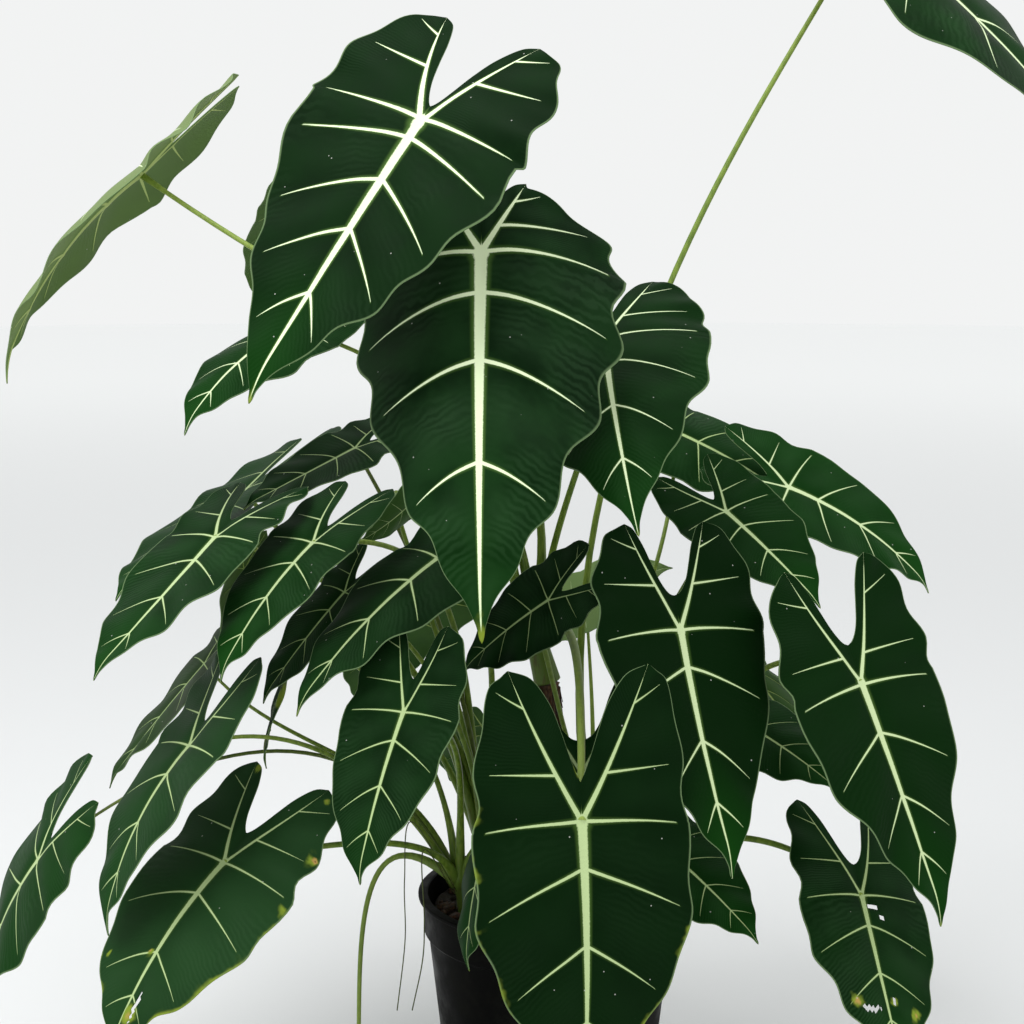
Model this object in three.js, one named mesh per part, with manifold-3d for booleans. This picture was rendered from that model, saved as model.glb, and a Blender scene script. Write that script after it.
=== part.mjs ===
// Potted Frydek alocasia: a many-crowned clump in a black plastic nursery pot.
// Millimetres, +Z up. The origin is the centre of the pot's underside; -Y is the side that is looked at.
// Every leaf blade is one thin waved solid. The leaf stalks of each crown grow together at their foot.

import * as THREE from 'three';
import { mergeVertices } from 'three/addons/utils/BufferGeometryUtils.js';
import Module from 'manifold-3d';

const wasm = await Module();
wasm.setup();

// Pot
const POT_HEIGHT = 230;
const RIM_RADIUS = 125;
const BASE_RADIUS = 94;
const WALL = 3;
const BAND_DEPTH = 36;
const BAND_STEP = 3.5;
const LIP_WIDTH = 9;
const LIP_DEPTH = 4;
const FOOT_DEPTH = 4;
const FOOT_INSET = 2;
const DRAIN_HOLES = 6;
const DRAIN_HOLE_RADIUS = 7;
const DRAIN_CIRCLE = 62;
const FOOT_RING = 12;
const FOOT_PAD = 38;
const FOOT_SLOPE = 4;
const POT_SIDES = 28;

// Potting mix: its top lies a little under the rim, and its chips stand out of it
const SOIL_TOP = 211;
const SOIL_GAP = 0.4;
const SOIL_RINGS = 5;
const SOIL_SECTORS = 18;
const SOIL_BUMP = 3;
const CHIP_COUNT = 14;
const CHIP_LENGTH = [9, 18];
const CHIP_WIDTH = [6, 11];
const CHIP_DEPTH = [5, 8];
const CHIP_TILT = 0.35;
const CHIP_FIELD = 96;
const STEM_HOLE_DEPTH = 42;
const STEM_GAP = 0.5;

// Main stem
const STEM_FOOT = [2, 8];
const STEM_RADIUS = 11.5;
const STEM_SIDES = 12;
const STEM_STEPS = 13;
const STEM_SCAR_STEP = 27;
const STEM_SCAR_DEPTH = 1.2;
const STEM_NECK = 8;
const MAIN_STEM_TOP = 430;

// Leaf blade
const BLADE_THICKNESS = 0.8;
const RIB_THICKNESS = 2.2;

// Relief of a blade, as shares of its length
const QUILT_HEIGHT = 0.009;
const WAVE_HEIGHT = 0.016;
const WAVE_COUNT = 2.6;
const WAVE_SHIFT = 1.3;
const GUTTER_DEPTH = 0.012;
const GUTTER_WIDTH = 0.05;
const MARGIN_SAG = 1.6;
const TIP_HOOK = 1.2;
const TIP_START = 0.85;
const SCALLOP = 0.011;

// Leaf stalk
const STALK_SIDES = 5;
const STALK_STEPS = 7;
const STALK_GAP = 0.4;
const SHEATH_SHARE = 0.25;
const SHEATH_SWELL = 2.5;
const CROWN_TAPER = 0.25;
const STALK_RING = 0.35;
const STALK_DEPTH = 14;
const STALK_STAGGER = 2;

// Places along half a blade, from the tip of its back lobe (-1) by the stalk (0) to the drip tip (1).
// The side veins leave the ribs at these places. A large leaf has a row of points on each of them and one
// between two; a small leaf has fewer.
const SIDE_VEINS = [-0.72, -0.33, 0, 0.17, 0.44, 0.7];
const ROWS_SMALL = [-1, -0.86, -0.6, -0.3, 0, 0.17, 0.44, 0.68, 0.86, 1];

// How far forward each side vein meets the margin, as [place, place of the margin point]
const VEIN_REACH = [
  [0, 0.03], [0.07, 0.2], [0.15, 0.33], [0.34, 0.55], [0.57, 0.745], [0.79, 0.885], [0.9, 0.95], [1, 1],
];
// Half width of the front part of a blade, for a full and for a slim leaf
const FULL_LEAF = [
  [0, 1], [0.16, 1.03], [0.32, 1], [0.5, 0.85], [0.73, 0.54], [0.85, 0.29], [0.93, 0.1], [0.965, 0.045],
  [0.99, 0.028], [1, 0],
];
const SLIM_LEAF = [
  [0, 1], [0.12, 1], [0.25, 0.95], [0.5, 0.7], [0.73, 0.4], [0.85, 0.2], [0.93, 0.08], [0.965, 0.042],
  [0.99, 0.028], [1, 0],
];
// Outer margin of a back lobe: [place, way to the lobe's tip, way from the lobe's tip out to the full width]
const LOBE_MARGIN = [
  [-1, 1, 0], [-0.8, 0.93, 0.4], [-0.58, 0.7, 0.78], [-0.4, 0.48, 0.92], [-0.24, 0.28, 0.98], [-0.1, 0.1, 1],
  [0, 0, 1],
];
// Inner margin of a back lobe: [place, way to the lobe's tip, share of the lobe's spread]
const SINUS_MARGIN = [
  [-1, 1, 1], [-0.8, 0.95, 0.72], [-0.58, 0.74, 0.42], [-0.4, 0.52, 0.26], [-0.24, 0.34, 0.15],
  [-0.1, 0.2, 0.05], [0, 0.14, 0],
];

// The crowns: where each stands (foot), where its stalks part (top), and how thick it is there
const CROWNS = {
  main: { foot: [-3, 6, 432], top: [-14, 4, 474], radius: 13 },
  left_high: { foot: [-52, 42], top: [-60, 44, 262], radius: 14 },
  left_low: { foot: [-76, -10], top: [-84, -14, 252], radius: 14 },
  right_high: { foot: [36, 48], top: [40, 52, 266], radius: 14 },
  right_low: { foot: [66, -12], top: [72, -16, 252], radius: 13 },
};

// The leaves: the crown each grows from, where the stalk meets the blade, and where the drip tip hangs.
// roll turns the blade about its midrib, in degrees. The rest are shares of the length from stalk to tip:
// wide is the half width, lobe and spread place the tips of the back lobes, sinus is how far the blade
// reaches behind the stalk between them, bow lifts the middle of the midrib and droop lowers the margins.
// shoulder narrows the back lobes where it is over 1, and cup makes the sinus rounder where it is under 1.
// sweep is how far the side veins lean towards the tip, and scallop how far the margin swells at their ends.
const LEAF_FORM = {
  roll: 0, wide: 0.38, lobe: 0.48, spread: 0.23, sinus: 0.08, full: 0.5, bow: 0.04, droop: 0.3, lift: 0,
  shoulder: 1, cup: 0.75, sweep: 1, scallop: SCALLOP, veins: SIDE_VEINS,
};
// A stalk's run: lean and rise set how it leaves the crown, back and run (or trail) how it comes to the blade
const STALK_FORM = { rise: 0.4, run: 0.3, lean: [0, 0, 1], trail: -0.2 };
const LARGE_STALK = { foot: 3.6, tip: 2.2 };
const SMALL_STALK = { foot: 3, tip: 1.8 };
const LEAVES = [
  { name: 'leaf_main_1', crown: 'main', large: true, at: [-110, -180, 935], tip: [-245, -245, 720],
    roll: 32, wide: 0.42, lobe: 0.38, spread: 0.19, sinus: 0.01, full: 0, droop: 0, bow: 0.01, lift: -0.5,
    veins: [-0.8, -0.48, -0.04, 0.055, 0.21, 0.39, 0.62], stalk: { lean: [-0.3, 0.15, 1] } },
  { name: 'leaf_main_2', crown: 'main', large: true, at: [-61, -168, 833], tip: [-60, -300, 540],
    roll: -6, wide: 0.34, lobe: 0.21, spread: 0.11, sinus: 0.1, full: 0.1, droop: 1.1, lift: -0.8,
    shoulder: 3.2, sweep: 0.6, scallop: 0.018, veins: [-0.7, -0.35, 0, 0.115, 0.3, 0.565, 0.78],
    stalk: { lean: [-0.35, 0, 1] } },
  { name: 'leaf_main_3', crown: 'main', large: true, at: [45, -55, 755], tip: [65, -215, 610],
    roll: -19, wide: 0.41, lobe: 0.38, full: 0.2, droop: 0.4, bow: 0.1, lift: -0.2 },
  { name: 'leaf_main_4', crown: 'main', large: true, at: [-380, 60, 900], tip: [-500, -5, 715],
    roll: -25, wide: 0.29, lobe: 0.55, spread: 0.07, droop: 0.5, bow: 0.08, lift: -0.1,
    stalk: { lean: [0.2, 0.1, 1], rise: 0.47, back: [0.9, -0.4, -0.6], run: 0.6 } },
  { name: 'leaf_main_5', crown: 'main', at: [-265, 190, 865], tip: [-300, 235, 775], roll: 10 },
  { name: 'leaf_main_6', crown: 'main', at: [-240, 20, 760], tip: [-325, -70, 675],
    roll: 5, full: 0.6, droop: 0.4, bow: 0.08,
    stalk: { lean: [0.1, 0.1, 1], rise: 0.39, back: [1.4, 0.3, -0.3], run: 0.37 } },
  { name: 'leaf_main_7', crown: 'main', large: true, at: [19, -282, 391], tip: [22, -292, 166],
    roll: -6, wide: 0.375, lobe: 0.54, spread: 0.25, sinus: 0.07, full: 1.3, droop: 0.1, bow: 0.06, lift: 0.1,
    cup: 1, veins: [-0.75, -0.31, 0, 0.16, 0.43, 0.71],
    stalk: { lean: [0.5, -0.7, 1], rise: 0.43, back: [0, 0.8, 0.9], run: 0.22, foot: 4.4, tip: 2.8 } },
  { name: 'leaf_main_8', crown: 'main', at: [-5, -120, 535], tip: [-80, -90, 465],
    roll: 51, wide: 0.4, lobe: 0.51, full: 0.6, droop: 0.1 },
  { name: 'leaf_main_9', crown: 'main', at: [24, -148, 389], tip: [28, -160, 215],
    wide: 0.36, lobe: 0.48, spread: 0.26, sinus: 0.11, cup: 0.5, full: 0.7, droop: 0.1 },
  { name: 'leaf_left_1', crown: 'left_high', large: true, at: [-300, 120, 595], tip: [-400, -30, 520],
    roll: -18, wide: 0.4, lobe: 0.62, spread: 0.12, full: 0.6, droop: 0, bow: 0.01 },
  { name: 'leaf_left_2', crown: 'left_high', large: true, at: [-300, -60, 580], tip: [-390, -170, 480],
    roll: -4, wide: 0.36, lobe: 0.47, spread: 0.27, full: 0.8, droop: 0, bow: 0, lift: -0.3,
    stalk: { lean: [-0.2, 0.1, 1], rise: 0.59, back: [0.5, 1.3, -0.4], run: 0.41 } },
  { name: 'leaf_left_3', crown: 'left_high', at: [-185, 60, 645], tip: [-285, 5, 597],
    roll: 11, full: 0.7, droop: 0, bow: 0, lift: -0.1 },
  { name: 'leaf_left_4', crown: 'left_high', large: true, at: [-210, -90, 580], tip: [-285, -160, 475],
    lobe: 0.52, wide: 0.39, full: 0.6, droop: 0, bow: 0.05, lift: -0.2,
    stalk: { lean: [-0.1, 0.3, 1], rise: 0.58, back: [1.4, 1.3, 0], run: 0.45 } },
  { name: 'leaf_left_5', crown: 'left_high', at: [-188, -36, 525], tip: [-261, -75, 433],
    roll: 6, lobe: 0.42, droop: 0.1, bow: 0.02 },
  { name: 'leaf_left_6', crown: 'left_high', large: true, at: [-100, -110, 570], tip: [-220, -175, 450],
    roll: 6, wide: 0.37, full: 0.2, droop: 0.2, bow: 0.05 },
  { name: 'leaf_left_7', crown: 'left_low', at: [-330, 40, 440], tip: [-420, 5, 330],
    roll: -5, droop: 0.1, bow: 0.01, lift: -0.1,
    stalk: { lean: [-0.3, 0.3, 1], rise: 0.43, back: [1.1, 0.1, -1.5], run: 0.38, tip: 1.4 } },
  { name: 'leaf_left_8', crown: 'left_low', large: true, at: [-315, -135, 410], tip: [-380, -200, 265],
    roll: -14, wide: 0.38, lobe: 0.53, full: 0.4, droop: 0.1, bow: 0.08, lift: 0.1,
    stalk: { lean: [-0.4, -0.1, 1], rise: 0.2, back: [0.9, 0.9, 0.1], run: 0.51, tip: 1.6 } },
  { name: 'leaf_left_9', crown: 'left_low', large: true, at: [-470, -60, 280], tip: [-535, -25, 120],
    roll: 47, wide: 0.42, lobe: 0.55, spread: 0.21, full: 0.7, droop: 0.2, bow: 0.07, lift: -0.2,
    stalk: { lean: [-0.5, 0.4, 1], rise: 0.63, back: [0.6, 0.9, 0.5], run: 0.3, foot: 2.4, tip: 1.2 } },
  { name: 'leaf_left_10', crown: 'left_low', large: true, at: [-285, -150, 310], tip: [-370, -240, 180],
    roll: 11, wide: 0.41, lobe: 0.55, spread: 0.24, sinus: 0.12, full: 1.2, bow: 0.08,
    veins: [-0.7, -0.3, 0, 0.19, 0.52, 0.74],
    stalk: { lean: [-0.2, -0.5, 1], rise: 0.28, back: [1.6, 1.4, -0.1], run: 0.56 } },
  { name: 'leaf_left_11', crown: 'left_low', large: true, at: [-125, -210, 460], tip: [-160, -270, 335],
    roll: -10, wide: 0.42, lobe: 0.52, spread: 0.19, sinus: 0.15, full: 0.7, droop: 0, bow: 0.03, lift: 0.2 },
  { name: 'leaf_left_12', crown: 'left_low', at: [-54, -118, 336], tip: [-77, -138, 206],
    roll: -15, wide: 0.37, full: 0.6, droop: 0.6 },
  { name: 'leaf_left_13', crown: 'left_high', at: [-130, 0, 600], tip: [-175, -30, 570], roll: 120 },
  { name: 'leaf_left_14', crown: 'left_high', at: [-285, 0, 540], tip: [-300, -15, 462], roll: -75, wide: 0.3,
    stalk: { lean: [-0.4, 0.8, 1], rise: 0.47, back: [0.4, 0.3, -0.3], run: 0.27 } },
  { name: 'leaf_left_15', crown: 'left_low', at: [-235, 0, 468], tip: [-268, -20, 355],
    roll: -20, wide: 0.17, lobe: 0.2, spread: 0.1, sinus: 0.04, droop: 0.8 },
  { name: 'leaf_left_16', crown: 'left_low', at: [-180, -75, 82], tip: [-210, -112, 14], lobe: 0.4, droop: 0.1,
    stalk: { lean: [-1.2, 0.2, 1], rise: 0.75, back: [0, 0.9, 0.3], run: 0.48 } },
  { name: 'leaf_right_1', crown: 'right_low', large: true, at: [105, -170, 520], tip: [145, -255, 335],
    roll: 8, wide: 0.41, lobe: 0.44, spread: 0.2, sinus: 0.095, cup: 0.55, full: 0, droop: 0,
    bow: -0.02, lift: 0.1, veins: [-0.76, -0.42, 0, 0.15, 0.45, 0.7] },
  { name: 'leaf_right_2', crown: 'right_low', large: true, at: [265, -130, 465], tip: [330, -195, 270],
    roll: -11, wide: 0.39, lobe: 0.5, spread: 0.22, sinus: 0.1, cup: 0.6, full: 0, droop: 0,
    bow: 0.01, lift: 0.1, veins: [-0.68, -0.22, 0.01, 0.21, 0.47, 0.7],
    stalk: { lean: [0.4, 0.3, 1], rise: 0.45, back: [-1, 1.1, 0.6], run: 0.43 } },
  { name: 'leaf_right_3', crown: 'right_low', large: true, at: [275, -110, 265], tip: [295, -215, 145],
    roll: 17, wide: 0.4, lobe: 0.59, spread: 0.24, sinus: 0.12, cup: 0.6, full: 0.9, droop: 0.1,
    bow: 0, lift: -0.2,
    stalk: { lean: [0.9, 0, 1], rise: 0.54, back: [-0.7, 0.8, 0.6], run: 0.24 } },
  { name: 'leaf_right_4', crown: 'right_high', large: true, at: [235, 110, 600], tip: [375, 95, 500],
    roll: -32, wide: 0.37, full: 0.3, droop: 0, bow: 0.08, lift: -0.1,
    stalk: { lean: [0.3, 0, 1], rise: 0.28, back: [-0.5, 0.1, -0.7], run: 0.39 } },
  { name: 'leaf_right_5', crown: 'right_high', at: [160, -10, 595], tip: [235, -95, 525],
    roll: -20, wide: 0.4, lobe: 0.5, droop: 0, bow: 0.02, lift: 0.1 },
  { name: 'leaf_right_6', crown: 'right_high', at: [130, 200, 645], tip: [262, 165, 569], roll: -28,
    stalk: { rise: 0.4, back: [0, -1.4, -1.3], run: 0.41 } },
  { name: 'leaf_right_7', crown: 'right_low', at: [180, 40, 385], tip: [265, -40, 340], roll: -21, wide: 0.4 },
  { name: 'leaf_right_8', crown: 'right_low', at: [100, -100, 305], tip: [175, -180, 250], roll: -19, wide: 0.4 },
  { name: 'leaf_right_9', crown: 'right_high', large: true, at: [304, 170, 1140], tip: [517, 90, 912],
    roll: -14,
    stalk: { lean: [-0.2, 0.1, 1], rise: 0.45, back: [-0.5, -0.1, -1], run: 0.17 } },
  { name: 'leaf_back_1', crown: 'right_high', at: [38, 150, 478], tip: [122, 118, 520],
    roll: -40, wide: 0.45, droop: 0,
    stalk: { lean: [0.1, 0.4, 1], rise: 0.37, back: [0.1, -0.4, -1.6], run: 0.33, tip: 1.3 } },
  { name: 'leaf_back_2', crown: 'left_high', large: true, at: [-130, 170, 470], tip: [-200, 270, 330] },
  { name: 'leaf_back_3', crown: 'right_high', at: [190, 160, 420], tip: [270, 230, 310] },
  { name: 'leaf_back_4', crown: 'left_high', at: [-60, 180, 330], tip: [-80, 260, 230] },
];

// Reads a smooth curve through rows of [place, value]
function follow(rows, place, column = 1) {
  let i = 0;
  while (i < rows.length - 2 && place > rows[i + 1][0]) i += 1;
  const slope = (k) => (rows[k + 1][column] - rows[k][column]) / (rows[k + 1][0] - rows[k][0]);
  const bend = (k) => {
    if (k <= 0) return slope(0);
    if (k >= rows.length - 1) return slope(rows.length - 2);
    const before = slope(k - 1);
    const after = slope(k);
    return before * after <= 0 ? 0 : 2 * before * after / (before + after);
  };
  const span = rows[i + 1][0] - rows[i][0];
  const u = (place - rows[i][0]) / span;
  const [a, b] = [rows[i][column], rows[i + 1][column]];
  const [p, q] = [bend(i) * span, bend(i + 1) * span];
  return a + u * (p + u * (3 * (b - a) - 2 * p - q + u * (p + q - 2 * (b - a))));
}

// A seeded draw between 0 and 1
function drawFrom(seed) {
  let state = seed >>> 0;
  return () => {
    state = (Math.imul(state, 1664525) + 1013904223) >>> 0;
    return state / 4294967296;
  };
}

// The blade's own directions: along the midrib, across it, and out of the upper face
function bladeAxes(leaf) {
  const at = new THREE.Vector3(...leaf.at);
  const along = new THREE.Vector3(...leaf.tip).sub(at);
  const length = along.length();
  along.normalize();
  const level = new THREE.Vector3().crossVectors(along, new THREE.Vector3(0, 0, 1)).normalize();
  const face = new THREE.Vector3().crossVectors(level, along);
  const roll = THREE.MathUtils.degToRad(leaf.roll);
  const across = level.clone().multiplyScalar(Math.cos(roll)).addScaledVector(face, Math.sin(roll));
  const out = face.multiplyScalar(Math.cos(roll)).addScaledVector(level, -Math.sin(roll));
  return { at, along, across, out, length };
}

// Where a place lies between the two side veins around it, from 0 to 1
function betweenVeins(leaf, place) {
  const stops = [-1, ...leaf.veins, 1];
  let i = 0;
  while (i < stops.length - 2 && place >= stops[i + 1]) i += 1;
  return (place - stops[i]) / (stops[i + 1] - stops[i]);
}

// A point of the flat half blade, as shares of its length. part runs from the rib (0) to the margin (1),
// or to the margin of the sinus where inner is set.
function flatPoint(leaf, place, part, inner) {
  const back = Math.max(-place, 0);
  const rib = [
    place >= 0 ? place : -leaf.lobe * back,
    leaf.spread * back * (1 + 0.2 * (1 - back)),
  ];
  let edge;
  if (inner) {
    edge = [
      -leaf.sinus - (leaf.lobe - leaf.sinus) * follow(SINUS_MARGIN, place, 1),
      leaf.spread * Math.max(follow(SINUS_MARGIN, place, 2), 0) ** leaf.cup,
    ];
  } else if (place >= 0) {
    const x = place + (follow(VEIN_REACH, place) - place) * leaf.sweep;
    const half = leaf.full * follow(FULL_LEAF, x) + (1 - leaf.full) * follow(SLIM_LEAF, x);
    edge = [x, leaf.wide * half];
  } else {
    const way = follow(LOBE_MARGIN, place, 1);
    edge = [
      VEIN_REACH[0][1] * leaf.sweep * (1 - way) - leaf.lobe * way,
      leaf.spread + (leaf.wide - leaf.spread) * Math.max(follow(LOBE_MARGIN, place, 2), 0) ** leaf.shoulder,
    ];
  }
  const run = [edge[0] - rib[0], edge[1] - rib[1]];
  const swing = leaf.scallop * (1 - place * place) * Math.cos(2 * Math.PI * betweenVeins(leaf, place));
  const grown = inner ? 1 : 1 + swing / Math.max(Math.hypot(...run), 2 * leaf.scallop);
  return [rib[0] + run[0] * part * grown, rib[1] + run[1] * part * grown];
}

// Height of the blade over its flat plane, as a share of its length
function bladeHeight(leaf, side, place, part, inner, x, y) {
  const arch = x >= 0 ? 4 * leaf.bow * x * (1 - x) : 2 * leaf.bow * x + leaf.lift * x * x;
  const hook = -TIP_HOOK * Math.max(x - TIP_START, 0) ** 2;
  const sag = -MARGIN_SAG * leaf.droop * y * y;
  const gutter = GUTTER_DEPTH * (1 - Math.exp(-((y / GUTTER_WIDTH) ** 2)));
  const quilt = QUILT_HEIGHT * Math.sin(Math.PI * betweenVeins(leaf, place)) ** 2 * 4 * part * (1 - 0.6 * part);
  const wave = inner ? 0 : WAVE_HEIGHT * part * part * (1 - place * place)
    * Math.sin(2 * Math.PI * WAVE_COUNT * place + leaf.phase + side * WAVE_SHIFT);
  return arch + hook + sag + gutter + (inner ? 0 : quilt * 0.5) + wave;
}

// One closed thin solid for a blade: the upper face, the same face lowered, and the edge between them
function bladeGeometry(leaf) {
  const axes = bladeAxes(leaf);
  const stops = [-1, ...leaf.veins, 1];
  const rowsLarge = stops.flatMap((stop, i) => (i === 0 ? [stop] : [(stops[i - 1] + stop) / 2, stop]));
  const rows = leaf.large ? rowsLarge : ROWS_SMALL;
  const point = (side, place, part, inner) => {
    const [x, y] = flatPoint(leaf, place, part, inner);
    const z = bladeHeight(leaf, side, place, part, inner, x, y);
    const spot = axes.at.clone();
    spot.addScaledVector(axes.along, x * axes.length);
    spot.addScaledVector(axes.across, side * y * axes.length);
    spot.addScaledVector(axes.out, z * axes.length);
    const rib = part === 0 ? Math.max(BLADE_THICKNESS, RIB_THICKNESS * (1 - Math.abs(place))) : BLADE_THICKNESS;
    return { spot, rib };
  };
  const spots = [];
  const ribs = [];
  const facet = (a, b, c) => {
    const normal = new THREE.Vector3().crossVectors(b.spot.clone().sub(a.spot), c.spot.clone().sub(a.spot));
    if (normal.length() < 1e-4) return;
    for (const corner of normal.dot(axes.out) > 0 ? [a, b, c] : [a, c, b]) {
      spots.push(...corner.spot.toArray());
      ribs.push(corner.rib);
    }
  };
  const strip = (side, from, to, parts, inner) => {
    for (let k = 0; k < parts.length - 1; k += 1) {
      const a = point(side, from, parts[k], inner);
      const b = point(side, from, parts[k + 1], inner);
      const c = point(side, to, parts[k + 1], inner);
      const d = point(side, to, parts[k], inner);
      facet(a, b, c);
      facet(a, c, d);
    }
  };
  for (const side of [-1, 1]) {
    for (let i = 0; i < rows.length - 1; i += 1) {
      strip(side, rows[i], rows[i + 1], [0, 0.5, 1], false);
      if (rows[i] < 0) strip(side, rows[i], rows[i + 1], [0, 1], true);
    }
  }
  let top = new THREE.BufferGeometry();
  top.setAttribute('position', new THREE.Float32BufferAttribute(spots, 3));
  top.setAttribute('rib', new THREE.Float32BufferAttribute(ribs, 1));
  top = mergeVertices(top, 1e-3);
  top.computeVertexNormals();
  return thickened(top);
}

// Doubles a face downwards by its own thickness and closes the edge
function thickened(top) {
  const { position, normal, rib } = top.attributes;
  const face = top.index.array;
  const count = position.count;
  const points = new Float32Array(count * 6);
  for (let i = 0; i < count; i += 1) {
    for (let k = 0; k < 3; k += 1) {
      const here = position.array[3 * i + k];
      points[3 * i + k] = here;
      points[3 * (count + i) + k] = here - normal.array[3 * i + k] * rib.array[i];
    }
  }
  const triangles = [];
  const edges = new Set();
  for (let f = 0; f < face.length; f += 3) {
    const [a, b, c] = face.slice(f, f + 3);
    triangles.push(a, b, c, count + a, count + c, count + b);
    for (const [p, q] of [[a, b], [b, c], [c, a]]) edges.add(`${p} ${q}`);
  }
  for (const edge of edges) {
    const [p, q] = edge.split(' ').map(Number);
    if (!edges.has(`${q} ${p}`)) triangles.push(p, count + p, count + q, p, count + q, q);
  }
  const solid = new THREE.BufferGeometry();
  solid.setAttribute('position', new THREE.BufferAttribute(points, 3));
  solid.setIndex(triangles);
  return solid;
}

// A closed round bar along a curve, with a radius for each share of its length
function taperedBar(curve, radiusAt, sides, steps) {
  const frames = curve.computeFrenetFrames(steps, false);
  const points = [];
  for (let i = 0; i <= steps; i += 1) {
    const share = i / steps;
    const middle = curve.getPointAt(share);
    const radius = radiusAt(share);
    for (let k = 0; k < sides; k += 1) {
      const angle = 2 * Math.PI * k / sides;
      const spot = middle.clone();
      spot.addScaledVector(frames.normals[i], radius * Math.cos(angle));
      spot.addScaledVector(frames.binormals[i], radius * Math.sin(angle));
      points.push(...spot.toArray());
    }
  }
  const triangles = [];
  for (let i = 0; i < steps; i += 1) {
    for (let k = 0; k < sides; k += 1) {
      const [a, b] = [i * sides + k, i * sides + (k + 1) % sides];
      triangles.push(a, b, b + sides, a, b + sides, a + sides);
    }
  }
  for (let k = 1; k < sides - 1; k += 1) {
    const end = steps * sides;
    triangles.push(0, k + 1, k, end, end + k, end + k + 1);
  }
  const bar = new THREE.BufferGeometry();
  bar.setAttribute('position', new THREE.Float32BufferAttribute(points, 3));
  bar.setIndex(triangles);
  return bar;
}

// The two ways between a mesh and a closed solid that can be joined or cut
function toSolid(geometry) {
  const plain = geometry.clone();
  for (const name of Object.keys(plain.attributes)) {
    if (name !== 'position') plain.deleteAttribute(name);
  }
  const merged = mergeVertices(plain, 1e-4);
  return new wasm.Manifold(new wasm.Mesh({
    numProp: 3,
    vertProperties: new Float32Array(merged.attributes.position.array),
    triVerts: new Uint32Array(merged.index.array),
  }));
}

function toGeometry(solid) {
  const mesh = solid.getMesh();
  const geometry = new THREE.BufferGeometry();
  geometry.setAttribute('position', new THREE.BufferAttribute(new Float32Array(mesh.vertProperties), 3));
  geometry.setIndex(Array.from(mesh.triVerts));
  return geometry;
}

const vector = (x, y, z) => new THREE.Vector3(x, y, z);

// Nursery pot: a tapered thin wall with a deeper stacking band under a flat lip. It stands on a ring and
// on a pad in the middle, and the raised floor between them has the drain holes.
function potGeometry() {
  const slope = (RIM_RADIUS - LIP_WIDTH / 2 - BASE_RADIUS) / POT_HEIGHT;
  const wallAt = (z) => BASE_RADIUS + slope * z;
  const bandFoot = POT_HEIGHT - BAND_DEPTH;
  const profile = [
    [0, 0],
    [FOOT_PAD, 0],
    [FOOT_PAD + FOOT_SLOPE, FOOT_DEPTH],
    [BASE_RADIUS - FOOT_RING - FOOT_SLOPE, FOOT_DEPTH],
    [BASE_RADIUS - FOOT_RING, 0],
    [BASE_RADIUS - FOOT_INSET, 0],
    [wallAt(FOOT_DEPTH), FOOT_DEPTH],
    [wallAt(bandFoot) - 1, bandFoot - 4],
    [wallAt(bandFoot) + BAND_STEP, bandFoot],
    [RIM_RADIUS - LIP_WIDTH + WALL + 1, POT_HEIGHT - LIP_DEPTH],
    [RIM_RADIUS, POT_HEIGHT - LIP_DEPTH],
    [RIM_RADIUS, POT_HEIGHT - 1],
    [RIM_RADIUS - 1, POT_HEIGHT],
    [RIM_RADIUS - LIP_WIDTH, POT_HEIGHT],
    [wallAt(bandFoot) - WALL - 1, bandFoot],
    [wallAt(FOOT_DEPTH + WALL) - WALL, FOOT_DEPTH + WALL],
    [0, FOOT_DEPTH + WALL],
  ].map(([radius, z]) => new THREE.Vector2(radius, z));
  const wall = new THREE.LatheGeometry(profile, POT_SIDES).rotateX(Math.PI / 2);
  let pot = toSolid(wall);
  for (let i = 0; i < DRAIN_HOLES; i += 1) {
    const angle = 2 * Math.PI * (i + 0.5) / DRAIN_HOLES;
    const hole = new THREE.CylinderGeometry(DRAIN_HOLE_RADIUS, DRAIN_HOLE_RADIUS, 4 * FOOT_DEPTH, 10);
    hole.rotateX(Math.PI / 2);
    hole.translate(DRAIN_CIRCLE * Math.cos(angle), DRAIN_CIRCLE * Math.sin(angle), 0);
    pot = pot.subtract(toSolid(hole));
  }
  return toGeometry(pot);
}

// Radius of the pot's inner face at a height
function potInside(z) {
  const slope = (RIM_RADIUS - LIP_WIDTH / 2 - BASE_RADIUS) / POT_HEIGHT;
  const bandFoot = POT_HEIGHT - BAND_DEPTH;
  if (z <= bandFoot) return BASE_RADIUS + slope * z - WALL - (z / bandFoot);
  const foot = BASE_RADIUS + slope * bandFoot - WALL - 1;
  return foot + (RIM_RADIUS - LIP_WIDTH - foot) * (z - bandFoot) / BAND_DEPTH;
}

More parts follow.
